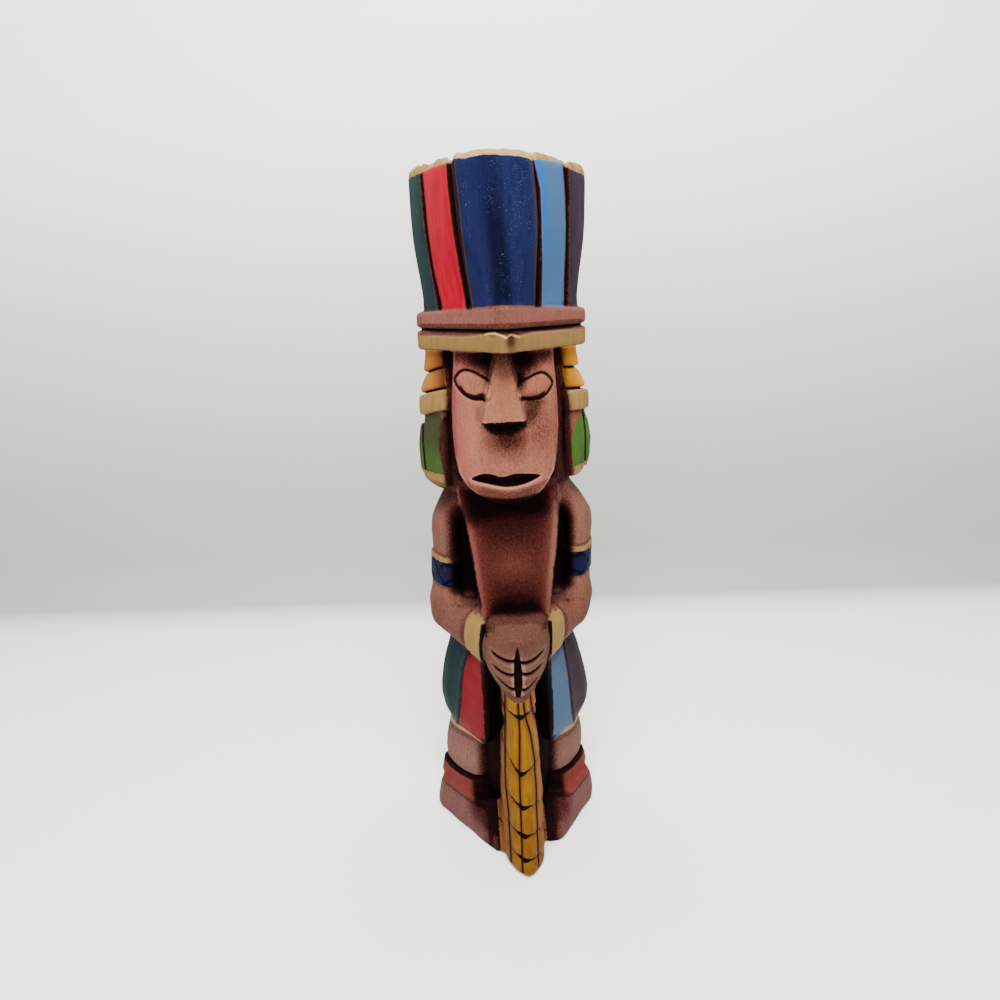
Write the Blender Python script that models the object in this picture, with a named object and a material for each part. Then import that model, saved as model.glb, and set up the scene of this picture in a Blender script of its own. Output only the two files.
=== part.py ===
"""Carved wooden totem: a figure in a tall feather crown, leaning on a feathered staff.

It is one piece of wood cut from a billet whose front is a blunt wedge. Every mass is lofted or
hulled from the billet's sizes, joined into one body, then cut with grooves and hollows.
Lengths are millimetres until spot() turns them into metres: x runs across, "fore" runs from
the line of the side corners towards the front, z runs up. The front faces -Y.
"""

import math

import bmesh
import bpy
from mathutils import Vector

MM = 0.001

# Driving dimensions of the billet
HEIGHT = 359.0
HALF_WIDTH = 46.0      # to the side corners
FORE_APEX = 64.0       # where the two front planes would meet
BACK = 14.0            # depth behind the side corners
MID_FORE = 24.6        # fore and sideways place of the box's middle, which the origin stands under
MID_ACROSS = 0.65

# Levels, from the floor up
FOOT_TOP = 20.0
ANKLET_TOP = 29.0
SKIRT_BOTTOM = 53.0
SKIRT_TOP = 117.0
LAP_TOP = 136.0
ARMBAND_LEVELS = {-1: (144.5, 160.5), 1: (147.5, 164.0)}     # left and right don't quite match
CHIN = 197.8
NECK_TOP = 206.0
BRIM_BOTTOM = 271.2
BRIM_TOP = 289.6

# The carver's eye was not quite true: at each height the work is turned by some degrees about
# the line of the side corners, and has drifted sideways by some millimetres.
TURN = [(0, 4.5), (60, 2.2), (100, 1.8), (135, 3.4), (165, 2.0), (200, 0.0), (285, 0.8),
        (293, 1.2), (310, 0.0), (325, -1.4), (340, -2.2), (HEIGHT, -4.0)]
DRIFT = [(0, 0.3), (55, 1.2), (80, 1.8), (120, 0.4), (150, 1.4), (180, 2.2), (205, 0.2), (HEIGHT, -0.4)]

# Half-widths of the crown's front panels, at heights: the blue one and the next pair
BLUE_HALF = [(293, 16.0), (310, 17.4), (330, 19.0), (356, 18.5)]
RED_HALF = [(293, 30.2), (310, 32.6), (324, 34.2), (356, 33.8)]

ROUGHNESS = 0.55
WELD = 0.00001         # metres: points of one mass nearer than this are the same point

PAINTS = {
    "stained_wood": (0.36, 0.17, 0.13, 1.0),
    "blue_paint": (0.03, 0.06, 0.22, 1.0),
    "gold_paint": (0.55, 0.36, 0.13, 1.0),
    "green_paint": (0.09, 0.2, 0.08, 1.0),
    "red_paint": (0.42, 0.03, 0.04, 1.0),
    "ochre_paint": (0.6, 0.3, 0.04, 1.0),
    "dark_recess": (0.08, 0.02, 0.02, 1.0),
}


# Helpers

def clear_scene():
    for item in list(bpy.data.objects):
        bpy.data.objects.remove(item, do_unlink=True)


def collection(name):
    group = bpy.data.collections.new(name)
    bpy.context.scene.collection.children.link(group)
    return group


def paint(name):
    found = bpy.data.materials.get(name)
    if found:
        return found
    material = bpy.data.materials.new(name)
    material.use_nodes = True
    shader = material.node_tree.nodes["Principled BSDF"]
    shader.inputs["Base Color"].default_value = PAINTS[name]
    shader.inputs["Roughness"].default_value = ROUGHNESS
    shader.inputs["Metallic"].default_value = 0.0
    return material


def between(table, z):
    """The value of a (height, value) table at height z."""
    if z <= table[0][0]:
        return table[0][1]
    for (low, first), (high, last) in zip(table, table[1:]):
        if z <= high:
            return first + (last - first) * (z - low) / (high - low)
    return table[-1][1]


def spot(x, fore, z):
    """A point of the carving in metres, with the turn and drift of its height."""
    angle = math.radians(between(TURN, z))
    across = x * math.cos(angle) + fore * math.sin(angle) + between(DRIFT, z) - MID_ACROSS
    ahead = fore * math.cos(angle) - x * math.sin(angle)
    return Vector((across, MID_FORE - ahead, z)) * MM


def softened(corners, steps):
    """An outline whose corners (x, fore, setback) are rounded by a curve over the setback."""
    outline = []
    for i, (x, fore, setback) in enumerate(corners):
        here = Vector((x, fore))
        before = Vector(corners[i - 1][:2])
        after = Vector(corners[(i + 1) % len(corners)][:2])
        back = min(setback, (before - here).length * 0.49)
        ahead = min(setback, (after - here).length * 0.49)
        start = here + (before - here).normalized() * back
        end = here + (after - here).normalized() * ahead
        for step in range(steps):
            t = step / (steps - 1)
            curved = start * (1 - t) ** 2 + here * 2 * t * (1 - t) + end * t ** 2
            outline.append((curved.x, curved.y))
    return outline


def level(corners, z, steps=4, side=1, dip=0.0):
    """A softened outline lifted to height z; dip lowers it as it comes forward."""
    return [spot(side * x, fore, z - dip * fore) for x, fore in softened(corners, steps)]


def solid(name, bm, finish, group):
    bmesh.ops.remove_doubles(bm, verts=bm.verts, dist=WELD)
    bmesh.ops.triangulate(bm, faces=bm.faces)
    bmesh.ops.recalc_face_normals(bm, faces=bm.faces)
    mesh = bpy.data.meshes.new(name)
    bm.to_mesh(mesh)
    bm.free()
    mesh.materials.append(paint(finish))
    item = bpy.data.objects.new(name, mesh)
    item.hide_render = True
    item.display_type = "WIRE"
    group.objects.link(item)
    return item


def loft(name, rings, finish, group):
    """A closed body through rings of equally many points, capped at both ends."""
    bm = bmesh.new()
    rows = [[bm.verts.new(point) for point in ring] for ring in rings]
    count = len(rings[0])
    for lower, upper in zip(rows, rows[1:]):
        for i in range(count):
            j = (i + 1) % count
            bm.faces.new((lower[i], lower[j], upper[j], upper[i]))
    bm.faces.new(list(reversed(rows[0])))
    bm.faces.new(rows[-1])
    return solid(name, bm, finish, group)


def hull(name, points, finish, group):
    """The tightest convex body round some points."""
    bm = bmesh.new()
    for point in points:
        bm.verts.new(point)
    found = bmesh.ops.convex_hull(bm, input=bm.verts)
    loose = [part for part in found["geom_interior"] if isinstance(part, bmesh.types.BMVert)]
    bmesh.ops.delete(bm, geom=loose, context="VERTS")
    return solid(name, bm, finish, group)


def groove(name, path, cut, group):
    """A V cut along a path of (x, fore, z, nx, nf), where (nx, nf) points out of the wood.

    cut is its width, its depth, and how far the cutter stands above the path if not 1.5.
    """
    width, depth, stand = (*cut, 1.5)[:3]
    rings = []
    for i, (x, fore, z, nx, nf) in enumerate(path):
        size = math.hypot(nx, nf)
        out = Vector((nx / size, nf / size, 0.0))
        first = Vector(path[max(i - 1, 0)][:3])
        last = Vector(path[min(i + 1, len(path) - 1)][:3])
        along = (last - first).normalized()
        across = along.cross(out).normalized() * (width / 2) * (depth + stand) / depth
        top = Vector((x, fore, z)) + out * stand
        bottom = Vector((x, fore, z)) - out * depth
        rings.append([spot(*(top - across)), spot(*bottom), spot(*(top + across))])
    return loft(name, rings, "dark_recess", group)


def superellipse(centre, reach, axis, power, count):
    """Plan points of a rounded oblong; reach is its half-sizes along axis and across it."""
    ahead = Vector(axis).normalized()
    across = Vector((-ahead.y, ahead.x))
    points = []
    for i in range(count):
        angle = 2 * math.pi * i / count
        c, s = math.cos(angle), math.sin(angle)
        along = math.copysign(abs(c) ** (2 / power), c) * reach[0]
        aside = math.copysign(abs(s) ** (2 / power), s) * reach[1]
        points.append(Vector(centre) + ahead * along + across * aside)
    return points


# Crown

CROWN_LEVELS = [  # height, half-width to the side corners, reach of the front ridge, its bluntness
    (287, 41.6, 55.6, 0.17), (297, 41.8, 56.2, 0.18), (306, 42.7, 57.6, 0.21),
    (315, 44.0, 58.8, 0.25), (325, 45.2, 60.0, 0.27), (336, 45.8, 60.6, 0.27),
    (350, 46.0, 61.0, 0.27)]
RIM_BEVEL = 3.4        # depth of the chamfer round the crown's top
RIM_INSET = 2.6
# Each panel, from the left side corner round the front: where it ends, and how far it stands out
PANEL_TOPS = [HEIGHT, 357.6, 356.2, 357.2, 357.6, 357.0, 358.0, 356.8]
PANEL_SWELL = [0.5, 0.0, 1.5, 0.5, 0.3, 0.4, 0.1, 0.5]
PANEL_ROUND = 0.5      # how much each panel swells at its middle
FRONT_PANELS = 5
BACK_SEAMS = [33.0, 12.0, -11.0, -34.0]
BACK_LINE = -4.0       # fore of this and beyond counts as the crown's front
CROWN_GROOVE = 1.6
CROWN_MIDDLE = Vector((0.0, 8.0))      # the panels swell away from here
# Where the points of a panel lie along it; its first is the bottom of a seam
FRONT_SHARES = (0.0, 0.06, 0.2, 0.5, 0.8, 0.94)
BACK_SHARES = (0.0, 0.08, 0.5, 0.92)


def crown_corners(half, apex, blunt):
    return [(0, -BACK - 1.5, 18), (-half * 0.78, -BACK, 8), (-half, -2, 10),
            (-half * blunt, apex - 4.5, 8), (0, apex, 6), (half * blunt, apex - 4.5, 8),
            (half, -2, 10), (half * 0.78, -BACK, 8)]


def walk(outline):
    """Lengths along a closed outline, starting at zero."""
    lengths = [0.0]
    for i, point in enumerate(outline):
        lengths.append(lengths[-1] + (Vector(outline[(i + 1) % len(outline)]) - Vector(point)).length)
    return lengths


def at_length(outline, lengths, where):
    where %= lengths[-1]
    for i, point in enumerate(outline):
        if where <= lengths[i + 1]:
            part = (where - lengths[i]) / (lengths[i + 1] - lengths[i])
            return Vector(point).lerp(Vector(outline[(i + 1) % len(outline)]), part)
    return Vector(outline[0])


def crossing(outline, lengths, x, front):
    """How far round the outline it crosses x, on its front or its back."""
    for i, point in enumerate(outline):
        after = outline[(i + 1) % len(outline)]
        ahead = (point[1] + after[1]) / 2 > BACK_LINE
        if ahead == front and (point[0] - x) * (after[0] - x) <= 0 and point[0] != after[0]:
            part = (x - point[0]) / (after[0] - point[0])
            return lengths[i] + (lengths[i + 1] - lengths[i]) * part
    raise ValueError("the outline never crosses that line")


def crown_ring(z, half, apex, blunt, inset=0.0, below=None):
    """One level of the crown: panels that swell a little, and a notch between each two.

    With below given, each panel's level is that far below its own top instead of at z.
    """
    outline = softened(crown_corners(half, apex, blunt), 9)
    lengths = walk(outline)
    blue, red = between(BLUE_HALF, z), between(RED_HALF, z)
    seams = [crossing(outline, lengths, x, True) for x in (-red, -blue, blue, red)]
    seams += [crossing(outline, lengths, x, False) for x in BACK_SEAMS]
    seams = [where % lengths[-1] for where in seams]
    seams.sort()
    first = next(i for i, where in enumerate(seams) if at_length(outline, lengths, where).y > 0)
    seams = seams[first - 1:] + seams[:first - 1]
    points = []
    for panel, start in enumerate(seams):
        end = seams[(panel + 1) % len(seams)]
        span = (end - start) % lengths[-1]
        for fraction in FRONT_SHARES if panel < FRONT_PANELS else BACK_SHARES:
            at = at_length(outline, lengths, start + span * fraction)
            out = (at - CROWN_MIDDLE).normalized()
            swell = PANEL_SWELL[panel] + PANEL_ROUND * (1 - (2 * fraction - 1) ** 2)
            at += out * (-CROWN_GROOVE if fraction == 0.0 else swell)
            at -= out * inset
            points.append(spot(at.x, at.y, z if below is None else PANEL_TOPS[panel] - below))
    return points


def make_crown(group):
    rings = [crown_ring(*row) for row in CROWN_LEVELS]
    top = CROWN_LEVELS[-1][1:]
    rings.append(crown_ring(HEIGHT, *top, inset=0.2, below=RIM_BEVEL))
    rings.append(crown_ring(HEIGHT, *top, inset=RIM_INSET, below=0.0))
    loft("crown", rings, "blue_paint", group)


# Brim and head

def billet(half, apex, inset=0.0, ridge=7, corner=9):
    """The billet's own outline, drawn in by an inset."""
    half, apex, back = half - inset, apex - 1.3 * inset, BACK - inset
    return [(0, -back - 1.5, 18), (-half * 0.8, -back, 6), (-half, -1, corner), (0, apex, ridge),
            (half, -1, corner), (half * 0.8, -back, 6)]


BRIM_STAND = 0.3       # how far the brim stands out from the billet
BRIM_CLIMB = 0.045     # how its top edge climbs towards the front ridge
BRIM_LEVELS = [        # height, how far it is drawn in, climb
    (BRIM_BOTTOM, 1.0, 0.0), (BRIM_BOTTOM + 0.9, 0.0, 0.0), (280.2, 0.0, 0.0), (280.9, 2.0, 0.0),
    (281.8, 2.0, 0.0), (282.6, 0.0, 0.0), (BRIM_TOP - 1.3, 0.0, BRIM_CLIMB), (BRIM_TOP, 1.2, BRIM_CLIMB)]


def make_brim(group):
    """Two bands with a groove between."""
    rings = []
    for z, inset, climb in BRIM_LEVELS:
        outline = softened(billet(HALF_WIDTH + BRIM_STAND, FORE_APEX + 2 * BRIM_STAND, inset), 4)
        rings.append([spot(x, fore, z + climb * max(fore, 0.0)) for x, fore in outline])
    loft("brim", rings, "stained_wood", group)


HEAD_CORE = [(-28, -BACK, 7), (-34, 0, 6), (-28, 17, 2), (28, 17, 2), (34, 0, 6), (28, -BACK, 7)]
HEAD_HEIGHTS = (198.0, 236.0, 277.0)


def make_head(group):
    loft("head_core", [level(HEAD_CORE, z, 3) for z in HEAD_HEIGHTS], "dark_recess", group)


FACE_LEVELS = [  # height, half-width, fore of the cheek edge, fore of the centre line
    (CHIN, 5.5, 43.0, 45.8), (198.8, 10.5, 40.2, 46.6), (201.2, 15.5, 37.2, 47.4),
    (204.8, 19.8, 34.0, 48.0), (211.0, 23.6, 31.0, 48.2), (220.0, 25.2, 29.8, 47.8),
    (234.0, 26.0, 29.0, 47.0), (247.0, 25.6, 28.8, 46.0), (260.0, 24.6, 28.4, 45.4),
    (276.0, 23.4, 28.0, 45.0)]
FACE_POWER = 1.7       # how full the face is between its cheek edges
FACE_ROOT = 12.0       # fore of its hidden back, inside the head


def face_fore(x, z):
    """Fore of the face's surface at x across and z up."""
    half = between([(row[0], row[1]) for row in FACE_LEVELS], z)
    edge = between([(row[0], row[2]) for row in FACE_LEVELS], z)
    centre = between([(row[0], row[3]) for row in FACE_LEVELS], z)
    return centre - (centre - edge) * min(abs(x) / half, 1.0) ** FACE_POWER


def make_face(group):
    rings = []
    for z, half, edge, _ in FACE_LEVELS:
        across = [half * k / 5 for k in range(-5, 6)]
        ring = [spot(x, face_fore(x, z), z) for x in across]
        ring += [spot(half + 0.6, edge - 3.0, z), spot(half, FACE_ROOT, z)]
        ring += [spot(-half, FACE_ROOT, z), spot(-half - 0.6, edge - 3.0, z)]
        rings.append(ring)
    loft("face", rings, "stained_wood", group)


NOSE_ENDS = [          # height, half-width, half-width of its flat front, fore: bridge and base
    (274.5, 2.7, 1.8, 45.6), (239.0, 10.8, 9.6, 59.2)]
NOSE_MIDDLE = -1.2
NOSE_EDGE = 1.6        # how far the bevel beside the flat front runs back
NOSE_ROOT = 40.0


def make_nose(group):
    points = []
    for z, half, flat, fore in NOSE_ENDS:
        for side in (-1, 1):
            points.append(spot(NOSE_MIDDLE + side * flat, fore, z))
            points.append(spot(NOSE_MIDDLE + side * half, fore - NOSE_EDGE, z))
            points.append(spot(NOSE_MIDDLE + side * (half + 1.2), NOSE_ROOT, z))
    hull("nose", points, "stained_wood", group)


EYE_LINES = {  # x and height: inner corner, over the lid, outer corner, under
    -1: [(-6.6, 257.8), (-10.6, 260.4), (-14.6, 262.4), (-18.6, 263.2), (-21.8, 261.8), (-24.2, 258.4),
         (-23.0, 255.2), (-19.8, 251.6), (-15.4, 249.0), (-10.6, 249.2), (-5.8, 251.6)],
    1: [(6.4, 257.2), (10.6, 258.8), (14.6, 260.4), (18.2, 260.9), (21.2, 259.2), (23.6, 255.6),
        (22.2, 252.6), (19.2, 249.8), (15.0, 248.4), (10.2, 248.9), (5.8, 251.0)]}
EYE_CUT = 0.9          # radius of the cut round the eye


def almond(side):
    """The line round one eye, laid on the face."""
    return [(x, face_fore(x, z), z) for x, z in EYE_LINES[side]]


def make_eyes(group):
    for side, hand in ((-1, "left"), (1, "right")):
        curve = bpy.data.curves.new(f"eye_line_{hand}", "CURVE")
        curve.dimensions = "3D"
        curve.bevel_depth = EYE_CUT * MM
        curve.bevel_resolution = 0
        spline = curve.splines.new("POLY")
        line = almond(side)
        spline.points.add(len(line) - 1)
        for point, place in zip(spline.points, line):
            point.co = (*spot(*place), 1.0)
        spline.use_cyclic_u = True
        wire = bpy.data.objects.new(f"eye_wire_{hand}", curve)
        bpy.context.scene.collection.objects.link(wire)
        depsgraph = bpy.context.evaluated_depsgraph_get()
        mesh = bpy.data.meshes.new_from_object(wire.evaluated_get(depsgraph))
        bm = bmesh.new()
        bm.from_mesh(mesh)
        bpy.data.objects.remove(wire, do_unlink=True)
        bpy.data.meshes.remove(mesh)
        solid(f"eye_line_{hand}", bm, "dark_recess", group)


MOUTH = (209.2, 17.4)      # height and half-width
LIP_RISE = 3.0
LIP_DROP = 2.5
LIP_DIP = 0.9              # the shallow dip in the middle of the upper edge
MOUTH_DEPTH = 4.2


def make_mouth(group):
    """A slot like a long lens, cut deepest at the middle, with a shallow dip in its top edge."""
    z, half = MOUTH
    rings = []
    for k in range(-6, 7):
        t = k / 6
        x = half * t
        full = max(1 - abs(t) ** 1.8, 0.04)
        upper = z + 0.6 + (LIP_RISE - LIP_DIP * math.exp(-(t / 0.22) ** 2)) * full
        lower = z + 0.6 - LIP_DROP * full
        front = face_fore(x, z)
        deep = front - 0.6 - MOUTH_DEPTH * full
        rings.append([spot(x, front + 3, lower - 0.8), spot(x, front + 3, upper + 0.8),
                      spot(x, deep, (upper + lower) / 2 + 0.25 * full),
                      spot(x, deep, (upper + lower) / 2 - 0.25 * full)])
    loft("mouth", rings, "dark_recess", group)


# Ear ornaments: two flared tassels, a band, and a long feather

EAR_STEPS = [  # height, how far the left and the right one stand in from the billet's face
    (276.0, 6.1, 7.7), (260.9, 2.8, 4.3), (260.1, 5.2, 6.2), (259.2, 5.2, 6.2), (255.0, 2.2, 2.8),
    (249.9, 0.5, 0.9), (249.2, 3.2, 3.4), (248.3, 3.2, 3.4), (247.5, -0.5, -0.6), (237.9, -0.7, -0.7),
    (237.1, 2.2, 2.4), (231.5, -0.6, -0.2), (222.0, -2.0, -1.8), (213.0, -1.9, -1.2), (207.0, 0.6, 0.6),
    (203.5, 4.2, 4.4)]
EAR_TILT = {-1: 0.24, 1: 0.08}    # how the cuts climb towards the face, on each side
EAR_INNER = {  # how near each ornament comes to the face, at heights
    -1: [(203, 32.0), (237.0, 31.8), (238.0, 29.4), (248, 28.4), (262, 30.0), (276, 31.0)],
    1: [(203, 34.6), (243, 33.5), (256, 30.5), (276, 29.0)]}
EAR_SINK = {-1: 0.9, 1: 0.1}      # how much lower each ornament's cuts lie
EAR_DROP = {-1: 5.0, 1: 0.6}      # and its feather's end
TILTED = (236.0, 262.0)           # only the cuts between these heights climb
FEATHER_END = 215.0
EAR_STAND = 0.8                   # how far an uncut ornament would stand out from the billet
EAR_BACK = -12.0


def make_ears(group):
    for side, hand in ((-1, "left"), (1, "right")):
        rings = []
        for z, left, right in EAR_STEPS:
            inset = left if side < 0 else right
            half = HALF_WIDTH + EAR_STAND - inset
            inner = between(EAR_INNER[side], z)
            corners = [(inner, FORE_APEX * (1 - inner / HALF_WIDTH) - inset * 0.8, 3.5), (half, 0, 8),
                       (half * 0.82, EAR_BACK + inset * 0.5, 5), (22, -8, 1)]
            tilt = EAR_TILT[side] if TILTED[0] < z < TILTED[1] else 0.0
            drop = EAR_DROP[side] if z < FEATHER_END else EAR_SINK[side]
            rings.append(level(corners, z - drop, 3, side, -tilt))
        loft(f"ear_{hand}", rings, "green_paint", group)


# Body

TRUNK_LEVELS = [(100, 36.0), (150, 38.0), (185, 38.0), (203, 28.0)]     # height, half-width
TRUNK_FRONT = 9.0
CHEST_LEVELS = [       # height, half-width, fore of its side edges
    (128, 18.0, 38.5), (140, 18.6, 37.2), (155, 20.6, 34.6), (172, 22.8, 31.6),
    (186, 24.6, 29.2), (196, 25.3, 27.6), (NECK_TOP, 25.6, 27.0)]
CHEST_HOLLOW = 1.0     # how far the chest's middle lies behind its side edges
LAP = [(-30, -12, 5), (-37, 1, 6), (-13, 38.5, 3), (13, 38.5, 3), (37, 1, 6), (30, -12, 5)]
LAP_HEIGHTS = (102.0, 120.0, LAP_TOP)


def make_body(group):
    rings = []
    for z, half in TRUNK_LEVELS:
        trunk = [(-half * 0.8, -BACK, 8), (-half, -3, 4), (-26, TRUNK_FRONT, 3),
                 (26, TRUNK_FRONT, 3), (half, -3, 4), (half * 0.8, -BACK, 8)]
        rings.append(level(trunk, z, 3))
    loft("trunk", rings, "dark_recess", group)
    rings = []
    for z, half, edge in CHEST_LEVELS:
        flank = edge - 0.6 * CHEST_HOLLOW
        corners = [(half, 5, 1), (half, edge, 2.4), (half * 0.55, flank, 5), (0, edge - CHEST_HOLLOW, 5),
                   (-half * 0.55, flank, 5), (-half, edge, 2.4), (-half, 5, 1)]
        rings.append(level(corners, z, 3))
    loft("chest", rings, "stained_wood", group)
    loft("lap", [level(LAP, z, 3) for z in LAP_HEIGHTS], "stained_wood", group)


UPPER_ARM = [  # height, outer reach left and right, half-length along the billet's face, half-thickness
    (208, 25.6, 26.8, 8.0, 5.5), (202, 30.6, 32.0, 12.0, 6.8), (191, 37.8, 39.4, 13.4, 6.6),
    (181, 43.4, 44.8, 13.8, 6.4), (173, 44.4, 45.8, 13.6, 6.2), (163, 43.4, 44.8, 13.2, 5.8),
    (141, 44.0, 45.6, 13.4, 6.0), (132, 46.2, 47.6, 14.2, 7.4), (122, 45.4, 46.4, 15.0, 8.2),
    (117, 43.0, 43.8, 13.0, 7.0)]
ARM_AXIS = (-0.32, 0.95)      # which way the arm's flat side runs, going forward
ARM_FORE = 1.0
# The armband's outer reach left and right, half-length and half-thickness: where it is full, at its edges
ARMBAND = (44.9, 46.3, 14.2, 6.8)
ARMBAND_EDGE = (43.3, 44.7, 13.0, 5.7)
BAND_BEVEL = 0.6


def limb_ring(side, axis, fore, z, outer, length, thick):
    """A level of an arm or leg: its outermost point lies at x = outer."""
    shape = superellipse((0, fore), (length, thick), axis, 2.5, 14)
    widest = max(point.x for point in shape)
    return [spot(side * (outer - widest + point.x), point.y, z) for point in shape]


def arm_ring(side, z, left, right, length, thick):
    return limb_ring(side, ARM_AXIS, ARM_FORE, z, left if side < 0 else right, length, thick)


def make_arms(group):
    for side, hand in ((-1, "left"), (1, "right")):
        rings = [arm_ring(side, *row) for row in UPPER_ARM]
        loft(f"upper_arm_{hand}", rings, "stained_wood", group)
        low, high = ARMBAND_LEVELS[side]
        band = [(low - BAND_BEVEL, *ARMBAND_EDGE), (low, *ARMBAND),
                (high, *ARMBAND), (high + BAND_BEVEL, *ARMBAND_EDGE)]
        rings = [arm_ring(side, *row) for row in band]
        loft(f"armband_{hand}", rings, "blue_paint", group)


FOREARM = [  # share of the way to the wrist, lower and upper edge, half-thickness
    (-0.12, 120.0, 127.0, 6.0), (0.0, 118.0, 129.0, 9.0), (0.2, 115.5, 130.0, 9.6),
    (0.4, 113.2, 132.6, 9.6), (0.6, 111.2, 134.6, 9.4), (0.8, 109.4, 136.0, 9.0),
    (1.0, 108.4, 135.8, 8.4), (1.12, 110.0, 134.5, 7.0)]
ELBOW = Vector((37.2, -1.2))
WRIST = Vector((8.6, 38.2))
WRISTBAND = [(0.635, 0.0), (0.65, 1.0), (0.9, 1.0), (0.915, 0.0)]      # share, how far it stands out


def forearm_ring(side, share, low, high, thick, grow=0.0):
    """A section of the forearm, square to its run along the billet's front plane."""
    centre = ELBOW.lerp(WRIST, share)
    run = (WRIST - ELBOW).normalized()
    out = Vector((run.y, -run.x))
    tall = (high - low) / 2 + grow
    shape = superellipse((0, (low + high) / 2), (thick + grow, tall), (1, 0), 2.8, 14)
    ring = []
    for point in shape:
        plan = centre + out * point.x
        ring.append(spot(side * plan.x, plan.y, point.y))
    return ring


def forearm_row(share):
    """The forearm's sizes at any share of its run."""
    columns = [between([(row[0], row[i]) for row in FOREARM], share) for i in (1, 2, 3)]
    return (share, *columns)


def make_forearms(group):
    for side, hand in ((-1, "left"), (1, "right")):
        loft(f"forearm_{hand}", [forearm_ring(side, *row) for row in FOREARM], "stained_wood", group)
        rings = [forearm_ring(side, *forearm_row(share), grow) for share, grow in WRISTBAND]
        loft(f"wristband_{hand}", rings, "gold_paint", group)


HAND_ROOT = 30.0
HAND_LEVELS = [  # height, half-width, fore of the knuckles, fore of the ridge
    (96.8, 2.2, 51.0, 56.5), (98.5, 6.0, 50.0, 57.8), (104.3, 11.4, 48.5, 59.4), (110.8, 15.3, 47.0, 59.9),
    (118, 17.1, 46.0, 59.9), (125, 17.4, 46.0, 59.6), (129, 17.4, 45.5, 59.0), (131.8, 16.6, 45, 55.6),
    (134.2, 15.8, 44, 49.5), (LAP_TOP + 0.1, 14.6, 42.5, 44.5)]


def make_hands(group):
    rings = []
    for z, half, knuckle, ridge in HAND_LEVELS:
        cheek = (knuckle + 2 * ridge) / 3
        corners = [(half * 0.9, HAND_ROOT, 1), (half, knuckle, 4), (half * 0.45, cheek, 4), (0, ridge, 4),
                   (-half * 0.45, cheek, 4), (-half, knuckle, 4), (-half * 0.9, HAND_ROOT, 1)]
        rings.append(level(corners, z, 3))
    loft("hands", rings, "stained_wood", group)


def hand_fore(x, z):
    half = between([(row[0], row[1]) for row in HAND_LEVELS], z)
    knuckle = between([(row[0], row[2]) for row in HAND_LEVELS], z)
    ridge = between([(row[0], row[3]) for row in HAND_LEVELS], z)
    return ridge - (ridge - knuckle) * min(abs(x) / half, 1.0) ** 1.3


SLIT = [(98.8, 0.5), (101, 1.3), (107, 2.2), (116, 1.9), (122, 1.2), (127, 0.4)]   # height, half
# The cuts between the fingers on each side: height beside the slit, and climb towards the wrist
FINGER_LINES = {-1: [(119.7, 1.7), (112.3, 1.6), (103.8, 3.4)],
                1: [(118.6, 1.9), (112.4, 0.9), (103.2, 2.5)]}
FINGER_SAG = 1.0
FINGER_START = 2.5
FINGER_END = 0.8       # share of the hand's half-width
FINGER_CUT = (1.6, 1.5)
WRIST_ARC = (16.0, 120.0)      # middle of the arc between the wristband and the hand
WRIST_REACH = (2.4, 13.5)
WRIST_SWEEP = 62.0
WRIST_FORE = 44.8
WRIST_CUT = (1.8, 4.5, 3.0)


def make_hand_cuts(group):
    slit = []
    for z, half in SLIT:
        front = hand_fore(0, z)
        slit.append([spot(-half, front + 2, z), spot(half, front + 2, z),
                     spot(half * 0.7, front - 2.4 * half - 0.5, z),
                     spot(-half * 0.7, front - 2.4 * half - 0.5, z)])
    loft("finger_slit", slit, "dark_recess", group)
    for side, hand in ((-1, "left"), (1, "right")):
        for number, (low, rise) in enumerate(FINGER_LINES[side]):
            path = []
            for k in range(5):
                t = k / 4
                z = low + rise * t - 4 * FINGER_SAG * t * (1 - t)
                half = between([(row[0], row[1]) for row in HAND_LEVELS], z)
                x = FINGER_START + (half * FINGER_END - FINGER_START) * t
                path.append((side * x, hand_fore(x, z), z, side * (0.25 + 0.5 * t), 1.0))
            groove(f"finger_line_{hand}_{number + 1}", path, FINGER_CUT, group)
        path = []
        for k in range(6):
            angle = math.radians(WRIST_SWEEP * (2 * k / 5 - 1))
            x = WRIST_ARC[0] + WRIST_REACH[0] * math.cos(angle)
            z = WRIST_ARC[1] + WRIST_REACH[1] * math.sin(angle)
            path.append((side * x, WRIST_FORE, z, side * 0.62, 0.78))
        groove(f"wrist_gap_{hand}", path, WRIST_CUT, group)


# Skirt, legs, feet and staff

HEM_CLIMB = 0.1        # how the skirt's hem climbs towards its front edge
HEM_TOP = 60.0
SKIRT_INNER = 6.0
SEAM_CUT = (2.0, 1.8)
SKIRT_LEVELS = [  # height, reach of the left and right side corners, reach of the front edge, its fore
    (SKIRT_BOTTOM - 0.4, 33.4, 34.4, 19.5, 30.0), (SKIRT_BOTTOM + 1.2, 36.4, 38.0, 18.0, 33.6),
    (58.0, 39.8, 42.2, 17.2, 36.4), (66, 43.8, 46.0, 16.8, 38.2), (75, 45.8, 46.0, 16.5, 39.2),
    (84, 45.2, 44.4, 16.3, 39.8), (95, 42.8, 42.2, 16.1, 40.0), (106, 39.0, 39.4, 16.0, 40.0),
    (SKIRT_TOP, 35.0, 35.0, 16.0, 39.0)]
SKIRT_SEAM = {  # how far out the seam between each pair of panels runs, at heights
    -1: [(53, 34.5), (64, 32.8), (72.3, 32.2), (87.7, 30.5), (99.5, 28.3), (106, 26.2), (117, 23.5)],
    1: [(52.5, 34.6), (66, 31.5), (79.4, 30.0), (93.5, 29.4), (104.6, 28.0), (117, 26.5)]}
SEAM_SINK = (0.4, 0.3)      # how far the seam's cut is set in, in x and in fore


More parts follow.
